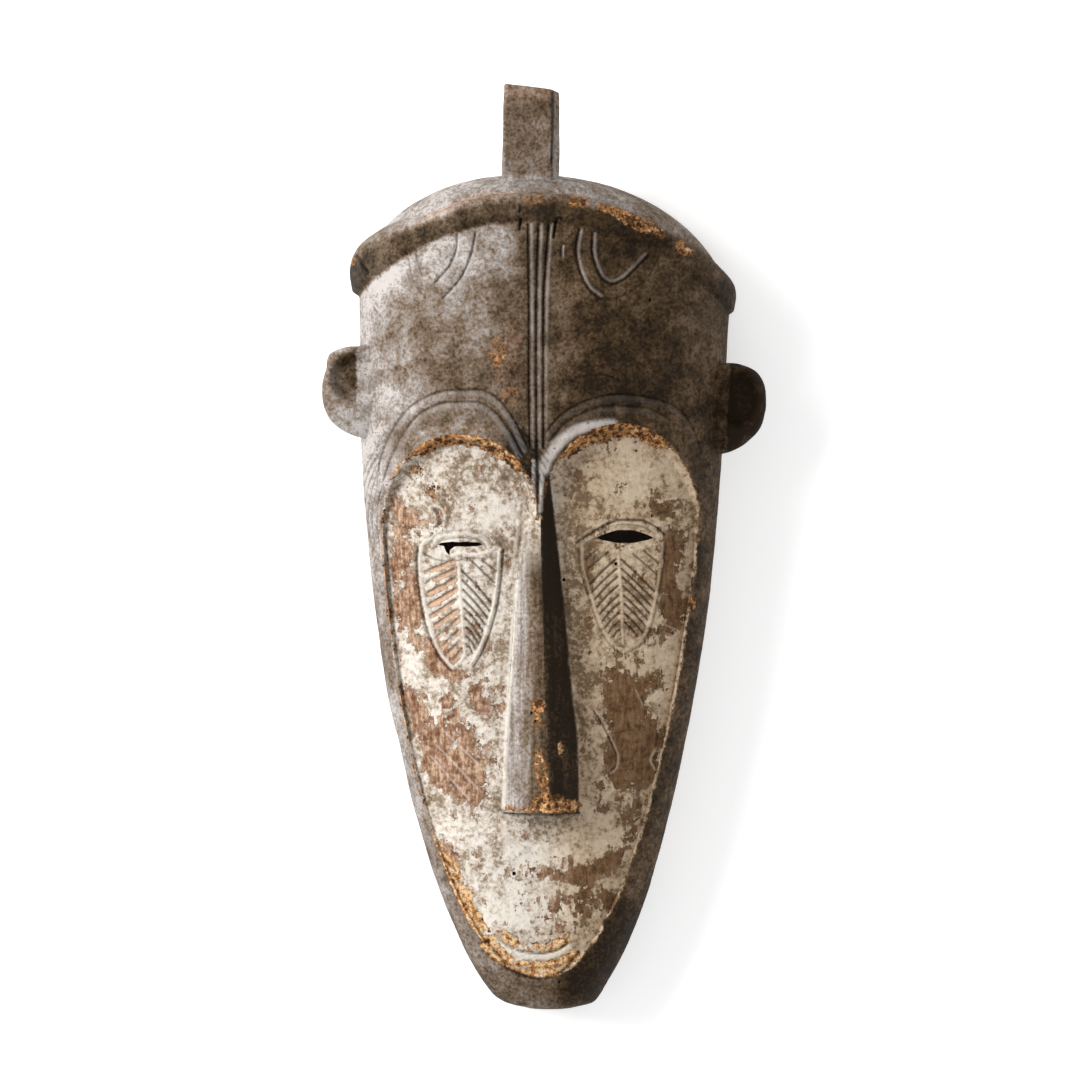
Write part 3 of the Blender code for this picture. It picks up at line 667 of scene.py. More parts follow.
# Where the white clay has worn down to brown wood.
WORN = (
    (-73, -12, 7, 34, 3, 0.8), (-66, -28, 4, 16, 0, 0.7),
    (-53.5, -55, 10, 7.5, -48, 0.95), (-43.5, -63.5, 6.5, 4, 0, 0.8),
    (-34.7, -74.9, 4, 9, 8, 0.8), (-69.4, -76.4, 7, 10, 15, 0.8),
    (-62, -90, 5.5, 12, 12, 0.7), (-46.5, -104, 12, 20, 14, 0.95),
    (-37.5, -121, 7.5, 15, 10, 0.85), (-57.5, -118, 6, 11, 10, 0.7),
    (-57, 29.9, 4, 6, 20, 0.75), (-47, -76, 5, 5, 0, 0.55),
    (-69, 16, 5, 6, 0, 0.5), (-49.5, -158, 4.5, 10, 24, 0.62),
    (65, 2, 8, 9, 0, 0.95), (64, -16, 5.5, 13, 0, 0.95),
    (66.5, -32, 7, 10, 0, 0.75), (57, -45, 6, 7, -30, 0.75),
    (37, -68, 11, 12, 0, 0.9), (44, -88, 12, 20, -6, 1),
    (41, -112, 11, 12, 0, 0.95), (54, -103, 6, 15, -10, 0.8),
    (57, -66, 5, 6, 0, 0.7), (9, -167, 19, 4, 0, 0.75),
    (19.5, -180, 6, 13, 0, 0.85), (32, -161, 11, 5.5, 8, 0.85),
    (33, -181, 5, 8, 20, 0.7), (44, -140, 5, 11, -14, 0.7),
    (62, 24, 8, 7, -30, 0.55), (21, -50, 3.5, 10, 0, 0.7),
    (23, -14, 2.5, 12, 0, 0.55), (3, -184, 9, 6, 0, 0.45),
    (-53, -24, 8, 22, 0, 0.08),
)
# Chips that show fresh ochre wood.
CHIPS = (
    (16.6, 175.6, 5, 3.6, 0, 0.62), (45.8, 166.4, 14, 3.6, -22, 0.80),
    (33, 171.5, 6, 2.2, -15, 0.45), (71.5, 153.5, 5, 3.2, -30, 0.72),
    (58.5, 160.6, 3.5, 2.5, -30, 0.38), (-5, 176.5, 6, 3, 0, 0.30),
    (3.5, -128.8, 9, 4.8, 0, 0.82), (-13, -132, 7, 2, 0, 0.50),
    (14.5, -130.5, 4.5, 3, 0, 0.80), (-1.5, -113, 3, 12, 8, 0.45),
    (-3.2, -79.5, 3, 4.2, -25, 0.85), (-3, -86.5, 2.6, 2.4, 0, 0.60),
    (8.5, -101, 1.5, 4, 0, 0.45), (-99.5, 150.5, 3, 3, 0, 0.30),
    (-23.8, 100.1, 4.6, 7, 0, 0.40), (-17.2, 78.4, 4.2, 5, 0, 0.28),
    (76, -27.5, 2, 3, 0, 0.80), (-57, 31, 5, 5, 0, 0.34),
    (-66, 40, 5, 4, 40, 0.35),
)
# Lighter and darker places of the bare wood: strength above zero is lighter. The darkest, in the valley
# between the brows above the nose, is painted shade.
SHADES = (
    (45, 92, 30, 17, 0, -0.13), (36, 112, 22, 14, 0, -0.05),
    (-60, 110, 24, 22, 0, -0.09), (-62, 143, 30, 14, 0, 0.12), (-28, 148, 16, 14, 0, 0.08),
    (52, 130, 26, 14, -20, 0.05), (-20, 92, 13, 38, 0, -0.15),
    (-10, 48, 7, 15, 24, -0.44), (-20, 66, 10, 6, -40, -0.10),
    (-62, 62, 26, 8, 34, -0.24), (42, 71, 42, 9, 0, -0.10),
    (0, 173, 26, 7, 0, 0.03), (-93, 77, 4, 60, 0, 0.04),
    (80, 80, 14, 60, 0, 0.04), (-52, 88, 34, 9, 0, -0.16),
    (-85, -30, 9, 60, 0, -0.10), (-97, 149, 10, 14, 0, -0.18),
    (78, -60, 14, 80, 0, -0.06), (92, 146, 12, 14, 0, -0.06),
)
# The same on the left ear; the first, dark one is painted shadow in the upper part of its dish, next to
# the head.
EAR_SHADES = (
    (-98, 94, 9, 9, 0, -0.32), (-101, 66, 12, 8, 30, 0.20), (-103, 104, 9, 2.5, 0, 0.15),
)
# Rubbed, pinkish places of the bare wood. The two along the band's upper edge are partly a painted
# highlight on its lit top.
RUBBED_AND_HIGHLIGHT = (
    (-8, 232.6, 15, 4.6, -6, 0.70), (-48, 173, 24, 2.2, 24, 0.66),
    (-22, 179, 12, 2, 8, 0.78), (-96, 152.5, 3, 5, 0, 0.45),
    (-20, 96, 10, 16, 0, 0.45), (-14, 116, 6, 14, 0, 0.35),
    (-19, 76, 7, 6, 0, 0.40), (-2.5, -104, 3.5, 26, 4, 0.55),
    (-12, -128, 9, 5, 0, 0.70), (20, 96, 20, 12, 0, 0.25),
    (30, 60, 30, 5, 0, 0.25), (-36, 60, 26, 5, 0, 0.35),
)
# Dirtier and cleaner places of the clay: strength above zero is darker. The two right beside the nose
# stand partly for dirt and partly for painted shadow of the nose.
STAINS_AND_SHADOW = (
    (-14, 6, 11, 36, 0, 0.20), (16, -20, 8, 60, 0, 0.22), (22, 10, 8, 26, 0, 0.12),
    (52, -128, 14, 24, 10, 0.12), (36, 20, 22, 5, 0, 0.12),
    (-52, 18, 5, 7, 0, 0.35), (-34, 26, 14, 8, 0, -0.06),
    (-44, -26, 16, 34, 0, -0.10), (0, -148, 30, 10, 0, -0.07),
    (-8, -186, 26, 9, 0, -0.34), (-20, -165, 24, 12, 0, -0.20),
    (38, -150, 12, 6, 10, -0.20), (62, -62, 7, 26, 0, -0.14),
    (50, 40, 20, 14, 0, -0.05), (41, -24, 16, 26, 0, 0.08),
    (-42, 47, 22, 8, 0, 0.06), (-2, -206, 16, 2.4, 0, -0.30),
)
# Tone of the bare wood across the mask, over the forehead and at the chin: (x, tone). Paler to the left
# and darker to the right: partly the wood's own patina, partly painted light on the left and painted shade
# on the right.
PATINA_AND_LIGHT_ACROSS = ((-97, 0.90), (-60, 0.72), (-30, 0.61), (-9, 0.38), (-4, 0.33),
                 (4, 0.29), (30, 0.25), (70, 0.25), (97, 0.27))
PATINA_AND_LIGHT_LOW = ((-80, 0.58), (-30, 0.48), (-18, 0.47), (0, 0.44), (14, 0.14), (30, -0.08))


def patina_and_painted_light(x, y, z):
    """Tone of the bare wood: 0 the darkest brown, 1 the palest grey; partly its own patina and partly
    painted light and shade.
    """
    across = along(PATINA_AND_LIGHT_ACROSS, 1, x)
    low = fade(-225, -140, y)
    tone = across * (1 - low) + along(PATINA_AND_LIGHT_LOW, 1, x) * low
    v = head_height(x, y)
    step = across_band(x, v)
    on_band = ease(-0.12, 0.0, step) * fade(0.85, 1.05, step)
    above = ease(0.85, 1.05, step)
    # The band's front is painted darker as shade and its upper bevel paler as a painted highlight, both
    # paler to the left where the light falls; the crown above it is paler to the left too, partly as
    # painted light.
    band = 0.165 - 0.0003 * x + (0.36 - 0.0024 * x) * ease(0.44, 0.76, step)
    tone = tone * (1 - on_band) + band * on_band
    tone = tone * (1 - above) + (0.74 - 0.0012 * x) * above
    tone = tone + patches(x, y, SHADES)
    s = across_nose(x, y)
    on_nose = (np.abs(s) < 1) & (y > NOSE_FOOT - 1) & (y < NOSE_ROOT)
    # The nose's left flank grows paler towards its left foot, partly the wood's own paler tone and partly
    # painted light; its right flank is dark, partly a stain and partly painted shade.
    left_flank = 0.90 - 0.62 * ease(-0.92, 0.0, s) - 0.08 * fade(-125, -70, y)
    nose_tone = np.where(s < 0, left_flank, 0.18 - 0.26 * ease(-0.1, 0.25, s))
    tone = np.where(on_nose, nose_tone, tone)
    left, right = edges(v)
    tone = np.where((x < left - 0.9) & (y < EARS_BELOW), 0.60 + patches(x, y, EAR_SHADES), tone)
    # The right ear is painted darkest: partly the dark wood of the right side and partly painted shade.
    tone = np.where((x > right + 0.9) & (y < EARS_BELOW), -0.10, tone)
    on_prong = (y > 190) & (z > PRONG_DEPTH[0] - 2) & (x > PRONG_BACK[0] - 1.7) & (x < PRONG_BACK[1] + 0.7)
    # The prong's right side and its left edge are painted paler as light falling on them.
    tone = np.where(on_prong, 0.50 + 0.12 * (x > 4.4) + 0.12 * (x < -19), tone)
    return tone


def ochre(x, y, deep):
    """Where chips and rubbed edges show ochre wood."""
    left_arch = ease(34, 46, y) * (x < -4) * ease(-72, -60, x)
    right_arch = ease(40, 52, y) * (x > 0) * fade(56, 66, x)
    low_left = fade(-170, -140, y) * (x < 8)
    wide = 1.0 + 3.6 * left_arch + 4.4 * right_arch + 6.5 * low_left
    edge = ease(-1.6, -0.4, deep) * fade(wide - 1.6, wide + 1.6, deep)
    strength = 0.30 + 0.12 * (x < -14) + 0.54 * left_arch + 0.68 * right_arch + 0.50 * low_left
    edge = edge * np.clip(strength, 0, 1) * np.where((x > 14) & (y < 40), 0.45, 1.0)
    mouth = smooth_run(MOUTH)
    lips = (0.75 * fade(2.0, 3.6, distance(x, y, shifted(mouth, 5.0)))
            + 0.85 * fade(2.2, 3.6, distance(x, y, shifted(mouth, -5.0)))) * (y < -190)
    return np.clip(np.maximum(edge, lips) + patches(x, y, CHIPS), 0, 1)


def surface_marks(x, y):
    """Every stroke's relief and tints at each spot."""
    strokes = Strokes()
    face_strokes(strokes)
    crown_strokes(strokes)
    relief, dark, pale = strokes.lay(x, y)
    hollow, furrow, _ = furrow_strokes().lay(x, y)
    return relief + hollow, dark, pale, furrow


def weathering(grid, deep, chips):
    """Uneven knife work, dents and chipped places, in millimetres along the surface."""
    uneven = 0.45 * lumps(grid, 26.0, 1) + 0.16 * lumps(grid, (5.0, 11.0, 6.0), 2)
    pits = 0.10 * lumps(grid, 1.9, 3) + 0.05 * lumps(grid, (0.9, 1.6, 1.2), 4)
    chipped = chips * (0.35 + 0.55 * lumps(grid, (2.6, 3.2, 3.0), 5) + 0.25 * lumps(grid, 1.3, 6))
    flaked = 0.12 * np.clip(2.5 * lumps(grid, (7.0, 9.0, 8.0), 7), -1, 1) * (deep > 1)
    return uneven + pits + flaked - np.clip(chipped, 0, 1.2) * 0.9


def outer_grid(heights, columns):
    """The whole outer surface with its carving and wear, as rows of points."""
    grid = hull(heights, columns, gather=0.35)
    rows = np.repeat(np.asarray(heights)[:, None], columns, axis=1)

    def outward():
        normal = np.cross(np.gradient(grid, axis=1), np.gradient(grid, axis=0))
        return normal / (np.linalg.norm(normal, axis=2, keepdims=True) + 1e-9)

    grid = grid + outward() * band_height(grid[..., 0], rows)[..., None]
    x, y, z = grid[..., 0], grid[..., 1], grid[..., 2]
    on_front = (z > 0) & (rows < FACE_TOP)
    grid[..., 2] = np.where(on_front, face_height(x, y, z, rows), z)
    x, y, z = (grid[..., axis].copy() for axis in range(3))
    deep = inside_heart(x, y)
    relief, _, _, _ = surface_marks(x, y)
    relief = relief + weathering(grid, deep, ochre(x, y, deep))
    shown = ease(2.0, 8.0, z) * fade(TEMPLE + CROWN - 4, TEMPLE + CROWN, rows)
    return grid + outward() * (relief * shown)[..., None]


def lofted(name, grid):
    """A closed mesh whose skin is the grid, with a flat chin and a flat back."""
    rows, columns = grid.shape[:2]
    bm = bmesh.new()
    bmesh.ops.create_grid(bm, x_segments=columns - 1, y_segments=rows - 1, size=1.0)
    mesh = bpy.data.meshes.new(name)
    bm.to_mesh(mesh)
    bm.free()
    flat = points_of(mesh)
    column = np.rint((flat[:, 0] + 1) / 2 * (columns - 1)).astype(int)
    row = np.rint((flat[:, 1] + 1) / 2 * (rows - 1)).astype(int)
    mesh.vertices.foreach_set("co", (grid[row, column] * MM).astype(np.float32).ravel())
    bm = bmesh.new()
    bm.from_mesh(mesh)
    corners = {(r, c): i for i, (r, c) in enumerate(zip(row, column)) if c in (0, columns - 1)
               and r in (0, rows - 1)}
    bm.verts.ensure_lookup_table()
    for r in (0, rows - 1):
        first, last = bm.verts[corners[r, 0]], bm.verts[corners[r, columns - 1]]
        if (first.co - last.co).length > MM:
            ends = {bm.verts[i] for i in np.flatnonzero(row == r)}
            border = [edge for vert in ends for edge in vert.link_edges
                      if edge.is_boundary and edge.other_vert(vert) in ends]
            bmesh.ops.contextual_create(bm, geom=list(set(border)) + [bm.edges.new((first, last))])
    bmesh.ops.remove_doubles(bm, verts=bm.verts, dist=1e-6)
    rim = [edge for edge in bm.edges if edge.is_boundary]
    bmesh.ops.holes_fill(bm, edges=rim, sides=0)
    bmesh.ops.recalc_face_normals(bm, faces=bm.faces)
    bm.to_mesh(mesh)
    bm.free()
    return mesh


def placed(mesh, name):
    """Put a mesh into the scene as an object."""
    thing = bpy.data.objects.new(name, mesh)
    bpy.context.scene.collection.objects.link(thing)
    return thing


def solid(bm, name):
    """Finish a bmesh as a cutter or a limb."""
    bmesh.ops.recalc_face_normals(bm, faces=bm.faces)
    mesh = bpy.data.meshes.new(name)
    bm.to_mesh(mesh)
    bm.free()
    return placed(mesh, name)


def settle(target):
    """Turn the target's modifiers into its mesh."""
    bpy.context.view_layer.update()
    graph = bpy.context.evaluated_depsgraph_get()
    mesh = bpy.data.meshes.new_from_object(target.evaluated_get(graph))
    old = target.data
    target.modifiers.clear()
    target.data = mesh
    bpy.data.meshes.remove(old)


def thinned(target, triangles):
    """Collapse the target's flatter places until it has about so many triangles."""
    now = sum(len(face.vertices) - 2 for face in target.data.polygons)
    step = target.modifiers.new("thinned", "DECIMATE")
    step.ratio = min(1.0, triangles / now)
    settle(target)


def boolean(target, operand, operation):
    """Join to or cut from the target at once, and remove the operand."""
    before = len(target.data.vertices)
    step = target.modifiers.new(operation.lower(), "BOOLEAN")
    step.operation = operation
    step.solver = "MANIFOLD"
    step.object = operand
    settle(target)
    if len(target.data.vertices) == before:
        raise RuntimeError(operand.name + " changed nothing")
    mesh = operand.data
    bpy.data.objects.remove(operand)
    bpy.data.meshes.remove(mesh)


def ear(side, name):
    """Half-round ear with a raised rim round a hollow dish."""
    outline = np.array(EAR_OUTLINES[side])
    middle = np.array((EAR_DISHES[side][0] + (4 if side == 0 else -4), outline[:, 1].mean()))
    loop = outline - middle
    turn = np.arctan2(loop[:, 1], loop[:, 0] * (-1 if side == 0 else 1))
    order = np.argsort(turn)
    turn, reach = turn[order], np.hypot(loop[:, 0], loop[:, 1])[order]
    turn = np.concatenate((turn - 2 * pi, turn, turn + 2 * pi))
    reach = np.tile(reach, 3)
    low, high = EAR_DEPTH
    dish_x, dish_y, dish_half, dish_tall = EAR_DISHES[side]
    bm = bmesh.new()
    bmesh.ops.create_uvsphere(bm, u_segments=EAR_MESH[0], v_segments=EAR_MESH[1],
                              radius=1.0)
    for vert in bm.verts:
        p = vert.co.copy()
        angle = np.arctan2(p.y, p.x * (-1 if side == 0 else 1))
        wide = min(1.0, float(np.hypot(p.x, p.y))) ** 0.8
        out = wide * float(np.interp(angle, turn, reach))
        way = float(np.hypot(p.x, p.y)) + 1e-9
        x, y = middle[0] + out * p.x / way, middle[1] + out * p.y / way
        z = (low + high) / 2 + (high - low) / 2 * np.sign(p.z) * abs(p.z) ** 0.8
        if p.z > 0:
            reach_in = float(np.hypot((x - dish_x) / dish_half, (y - dish_y) / dish_tall))
            z -= EAR_DISH_DEEP * float(fade(0.6, 1.12, reach_in))
        z += 0.3 * float(lumps((x, y, z), 4.0, 8))
        vert.co = Vector((x, y, z)) * MM
    bmesh.ops.smooth_vert(bm, verts=bm.verts, factor=0.5, use_axis_x=True, use_axis_y=True,
                          use_axis_z=True)
    return solid(bm, name)


def prong(name):
    """Squared peg on the crown, a little worn, its right side slanting out towards the back so that it
    shows.
    """
    bm = bmesh.new()
    bmesh.ops.create_cube(bm, size=2.0)
    low, high = PRONG_DEPTH
    for vert in bm.verts:
        ends = PRONG_FRONT if vert.co.z > 0 else PRONG_BACK
        x = ends[0] if vert.co.x < 0 else ends[1]
        y = PRONG_ROOT if vert.co.y < 0 else PRONG_TOP - PRONG_WORN[0] * (vert.co.x > 0)
        if vert.co.y > 0 and vert.co.x < 0:
            x += PRONG_WORN[1]
        vert.co = Vector((x, y, high if vert.co.z > 0 else low)) * MM
    bmesh.ops.bevel(bm, geom=bm.edges[:], offset=PRONG_BEVEL * MM, segments=3, profile=0.5,
                    affect="EDGES", material=-1)
    bmesh.ops.subdivide_edges(bm, edges=[e for e in bm.edges if e.calc_length() > 5 * MM],
                              cuts=PRONG_CUTS, use_grid_fill=True)
    bmesh.ops.triangulate(bm, faces=bm.faces)
    bm.normal_update()
    for vert in bm.verts:
        spot = np.array(vert.co) / MM
        if vert.co.y / MM < PRONG_TOP - 1.0:
            dent = 0.35 * lumps(spot, 9.0, 9) + 0.18 * lumps(spot, 2.6, 10) - 0.25
            vert.co += vert.normal * float(dent) * MM
    return solid(bm, name)


def prism(name, outline, low, high):
    """Upright prism over a closed outline."""
    bm = bmesh.new()
    ring = [bm.verts.new(Vector((x, y, low)) * MM) for x, y in outline]
    floor = bm.faces.new(ring)
    raised = bmesh.ops.extrude_face_region(bm, geom=[floor])["geom"]
    top = [item for item in raised if isinstance(item, bmesh.types.BMVert)]
    bmesh.ops.translate(bm, verts=top, vec=Vector((0, 0, high - low)) * MM)
    return solid(bm, name)


def through_wall():
    """Range of height that reaches from inside the hollow to before the face."""
    return float(along(HOLLOW_CREST, 1, 0.0)) / 2, float(along(CREST, 1, 0.0)) + PAST


def slit(name, sizes):
    """Eye slit: a lens between two corners, cut through the face wall."""
    left, right, y, upper, lower, blunt = sizes
    middle, half = (left + right) / 2, (right - left) / 2
    t = np.linspace(-1, 1, 40)
    swell = 1 - np.abs(t) ** blunt
    rough = 0.12 * np.sin(t * 11 + left) * swell
    below = [(middle + half * a, y - lower * h + r) for a, h, r in zip(t, swell, rough)]
    above = [(middle + half * a, y + upper * h - r) for a, h, r in zip(t, swell, rough)]
    return prism(name, below + above[-2:0:-1], *through_wall())


def beetle_holes(name):
    """Short round cutters, each square to the surface that it enters."""
    bm = bmesh.new()
    for number, (x, y) in enumerate(BEETLE_HOLES):
        spots = np.array([(x, y), (x + 1, y), (x, y + 1)])
        height = surface_height(spots[:, 0], spots[:, 1])
        normal = Vector((height[0] - height[1], height[0] - height[2], 1.0)).normalized()
        turn = normal.to_track_quat("Z", "Y").to_matrix().to_4x4()
        centre = Vector((x, y, height[0])) * MM
        radius = HOLE_RADIUS * (0.8 + 0.45 * float(chance(number, 5.0))) * MM
        bmesh.ops.create_cone(bm, cap_ends=True, segments=14, radius1=radius * 0.8,
                              radius2=radius, depth=2 * HOLE_DEEP * MM,
                              matrix=Matrix.Translation(centre) @ turn)
    return solid(bm, name)


def bench():
    """Block that trims everything below the back rim flat."""
    wide, tall = TEMPLE_HALF + 2 * PAST, PRONG_TOP + PAST
    return prism("bench", [(-wide, -tall), (wide, -tall), (wide, tall), (-wide, tall)], -2 * PAST, 0.0)


def hollow():
    """Cutter for the hollow back, with the marks of the adze."""
    rows = np.linspace(*HOLLOW_REACH, HOLLOW_MESH[0])
    grid = hull(rows, HOLLOW_MESH[1], inset=WALL, crest=HOLLOW_CREST, below=PAST)
    out = np.cross(np.gradient(grid, axis=1), np.gradient(grid, axis=0))
    out /= np.linalg.norm(out, axis=2, keepdims=True) + 1e-9
    inner = np.zeros(grid.shape[:2])
    inner[3:-3] = 1.0
    marks = 0.7 * lumps(grid, (11.0, 17.0, 12.0), 11) + 0.25 * lumps(grid, (4.0, 9.0, 5.0), 12)
    return placed(lofted("hollow", grid + out * (marks * inner)[..., None]), "hollow")


def heights_of_rows(step):
    """Heights of the surface's rows, closest over the carved eyes and at the crown."""
    zones = ((CHIN, -226.0, 0.9), (-226.0, -66.0, 1.5), (-66.0, 92.0, 1.0), (92.0, 186.0, 1.5),
             (186.0, TEMPLE + CROWN, 0.5))
    rows = [np.arange(low, high, share * step) for low, high, share in zones]
    extra = [NOSE_FOOT - 0.35, NOSE_FOOT + 0.15, TEMPLE + CROWN]
    return np.unique(np.concatenate(rows + [extra]))


def points_of(mesh):
    """The mesh's points in metres."""
    flat = np.zeros(len(mesh.vertices) * 3, dtype=np.float32)
    mesh.vertices.foreach_get("co", flat)
    return flat.reshape(-1, 3)


def keep_in_box(mesh):
    """Trim what the rough surface adds beyond the solid's own box."""
    trimmed = np.clip(points_of(mesh), tuple(CAD_LOW), tuple(CAD_HIGH))
    mesh.vertices.foreach_set("co", trimmed.astype(np.float32).ravel())
    mesh.update()


def write_marks(mesh):
    """Store on the points where clay, wear, chips and cuts are, for the material."""
    x, y, z = (points_of(mesh).astype(float) / MM).T
    v = head_height(x, y)
    left, right = edges(v)
    from_side = np.minimum(x - left, right - x)
    below = surface_height(x, y) - z
    within = (v > HOLLOW_REACH[0] - 1) & (v < HOLLOW_REACH[1] + 1)
    u = np.abs(x - (left + right) / 2) / np.maximum((right - left) / 2 - WALL + 0.8, 1)
    power = along(SQUARENESS, 1, v)
    roof = along(HOLLOW_CREST, 1, v) * (1 - np.clip(u, 0, 1) ** power) ** (1 / power)
    inside = (u < 1) & (z < roof + 2.0) & (from_side > 5) & within
    deep = np.clip(inside_heart(x, y), -HEART_REACH, HEART_REACH)
    deep = np.where(inside | (z < CLAY_ABOVE), -HEART_REACH, deep)
    _, dark, pale, furrow = surface_marks(x, y)
    # The inside of each beetle hole is painted dark as shade.
    hole = np.min([np.hypot(x - hx, y - hy) for hx, hy in BEETLE_HOLES], axis=0)
    bored = (hole < HOLE_NEAR) & (below > HOLE_BELOW) & ~inside
    dark = np.where(bored, 1.0, np.where(inside, 0, dark))
    s = across_nose(x, y)
    on_nose = (np.abs(s) < 1) & (y > NOSE_FOOT - 0.5) & (y < NOSE_ROOT) & (below < 4)
    on_nose = on_nose * fade(0.9, 1.0, np.abs(s)) * np.where(s < 0, fade(-16, 20, y), 1.0)
    bared = np.clip(0.04 + patches(x, y, WORN, 1.7, 0.3) + 0.75 * furrow, 0, 1.6)
    marks = {
        "heart": deep,
        "worn": np.where(deep > -2, bared, patches(x, y, RUBBED_AND_HIGHLIGHT, 1.6, 0.4)) * ~inside,
        "stain_and_shade": 0.37 + patches(x, y, STAINS_AND_SHADOW),
        "ochre": ochre(x, y, deep) * ~inside,
        "patina_and_painted_light": patina_and_painted_light(x, y, z),
        "nose": on_nose,
        "cut": dark,
        "ridge_and_highlight": np.where(inside, 0, pale),
        "inside": inside.astype(float),
        "furrow": furrow * ~inside,
    }
    for name, value in marks.items():
        layer = mesh.attributes.new(name, "FLOAT", "POINT")
        layer.data.foreach_set("value", np.ascontiguousarray(value, dtype=np.float32))


class Wire:
    """A value or colour in a material's nodes; arithmetic on values adds Math nodes."""

    def __init__(self, finish, socket):
        self.finish = finish
        self.socket = socket

    def maths(self, operation, *values):
        """A Math node on some values."""
        return self.finish.node("ShaderNodeMath", {"operation": operation}, dict(enumerate(values)))

    def __add__(self, other):
        return self.maths("ADD", self, other)

    __radd__ = __add__

    def __mul__(self, other):
        return self.maths("MULTIPLY", self, other)

    __rmul__ = __mul__

    def __sub__(self, other):
        return self.maths("SUBTRACT", self, other)

    def __rsub__(self, other):
        return self.maths("SUBTRACT", other, self)

    def least(self, other):
        """The smaller of two values."""
        return self.maths("MINIMUM", self, other)

    def step(self, low, high):
        """Smooth step from 0 at low to 1 at high."""
        settings = {"interpolation_type": "SMOOTHSTEP"}
        return self.finish.node("ShaderNodeMapRange", settings,
                                {"Value": self, "From Min": low, "From Max": high})


class Finish:
    """The node tree of one material."""

    def __init__(self, name):
        self.material = bpy.data.materials.new(name)
        self.material.use_nodes = True
        self.tree = self.material.node_tree
        self.tree.nodes.clear()
        self.place = self.node("ShaderNodeTexCoord", out="Object")

    def node(self, kind, settings=None, values=None, out=0):
        """Add a node: its settings first, then the values or links of its sockets."""
        node = self.tree.nodes.new(kind)
        node.location = (220 * (len(self.tree.nodes) // 8), -180 * (len(self.tree.nodes) % 8))
        for key, value in (settings or {}).items():
            if key == "stops":
                for number, (at, colour) in enumerate(value):
                    ramp = node.color_ramp.elements
                    stop = ramp[number] if number < 2 else ramp.new(at)
                    stop.position, stop.color = at, (*colour, 1.0)
            else:
                setattr(node, key, value)
        for key, value in (values or {}).items():
            if isinstance(value, Wire):
                self.tree.links.new(value.socket, node.inputs[key])
            else:
                node.inputs[key].default_value = value
        return Wire(self, node.outputs[out])

    def mark(self, name):
        """A value stored on the mesh."""
        return self.node("ShaderNodeAttribute", {"attribute_name": name}, out="Fac")

    def noise(self, size, stretch=(1, 1, 2.3), detail=4.0, rough=0.55, shift=0.0):
        """Cloudy value around 0.5 with lumps of about one size, in metres."""
        scale = tuple(1 / (size * part) for part in stretch)
        at = self.node("ShaderNodeMapping", None,
                       {"Vector": self.place, "Scale": scale, "Location": (shift, shift, shift)})
        return self.node("ShaderNodeTexNoise", None,
                         {"Vector": at, "Scale": 1.0, "Detail": detail, "Roughness": rough})

    def ramp(self, value, stops):
        """Colour of a value along some stops."""
        return self.node("ShaderNodeValToRGB", {"stops": stops}, {0: value})

    def blend(self, share, under, over):
        """One colour laid over another."""
        under, over = (c if isinstance(c, Wire) else (*c, 1.0) for c in (under, over))
        return self.node("ShaderNodeMix", {"data_type": "RGBA"}, {0: share, 6: under, 7: over}, 2)

    def stained_and_shaded(self, share, colour, stain_and_shade):
        """A colour browned by multiplying it with another: here umber that is partly the wood's own and
        partly painted shade.
        """
        return self.node("ShaderNodeMix", {"data_type": "RGBA", "blend_type": "MULTIPLY"},
                         {0: share, 6: colour, 7: (*stain_and_shade, 1.0)}, 2)

    def shaded(self, colour, amount):
        """A colour made darker or lighter by a varying amount."""
        return self.node("ShaderNodeVectorMath", {"operation": "SCALE"}, {0: colour, "Scale": amount})

    def output(self, shader):
        """Join the shader to the material's output."""
        out = self.tree.nodes.new("ShaderNodeOutputMaterial")
        self.tree.links.new(shader.socket, out.inputs["Surface"])
        return self.material


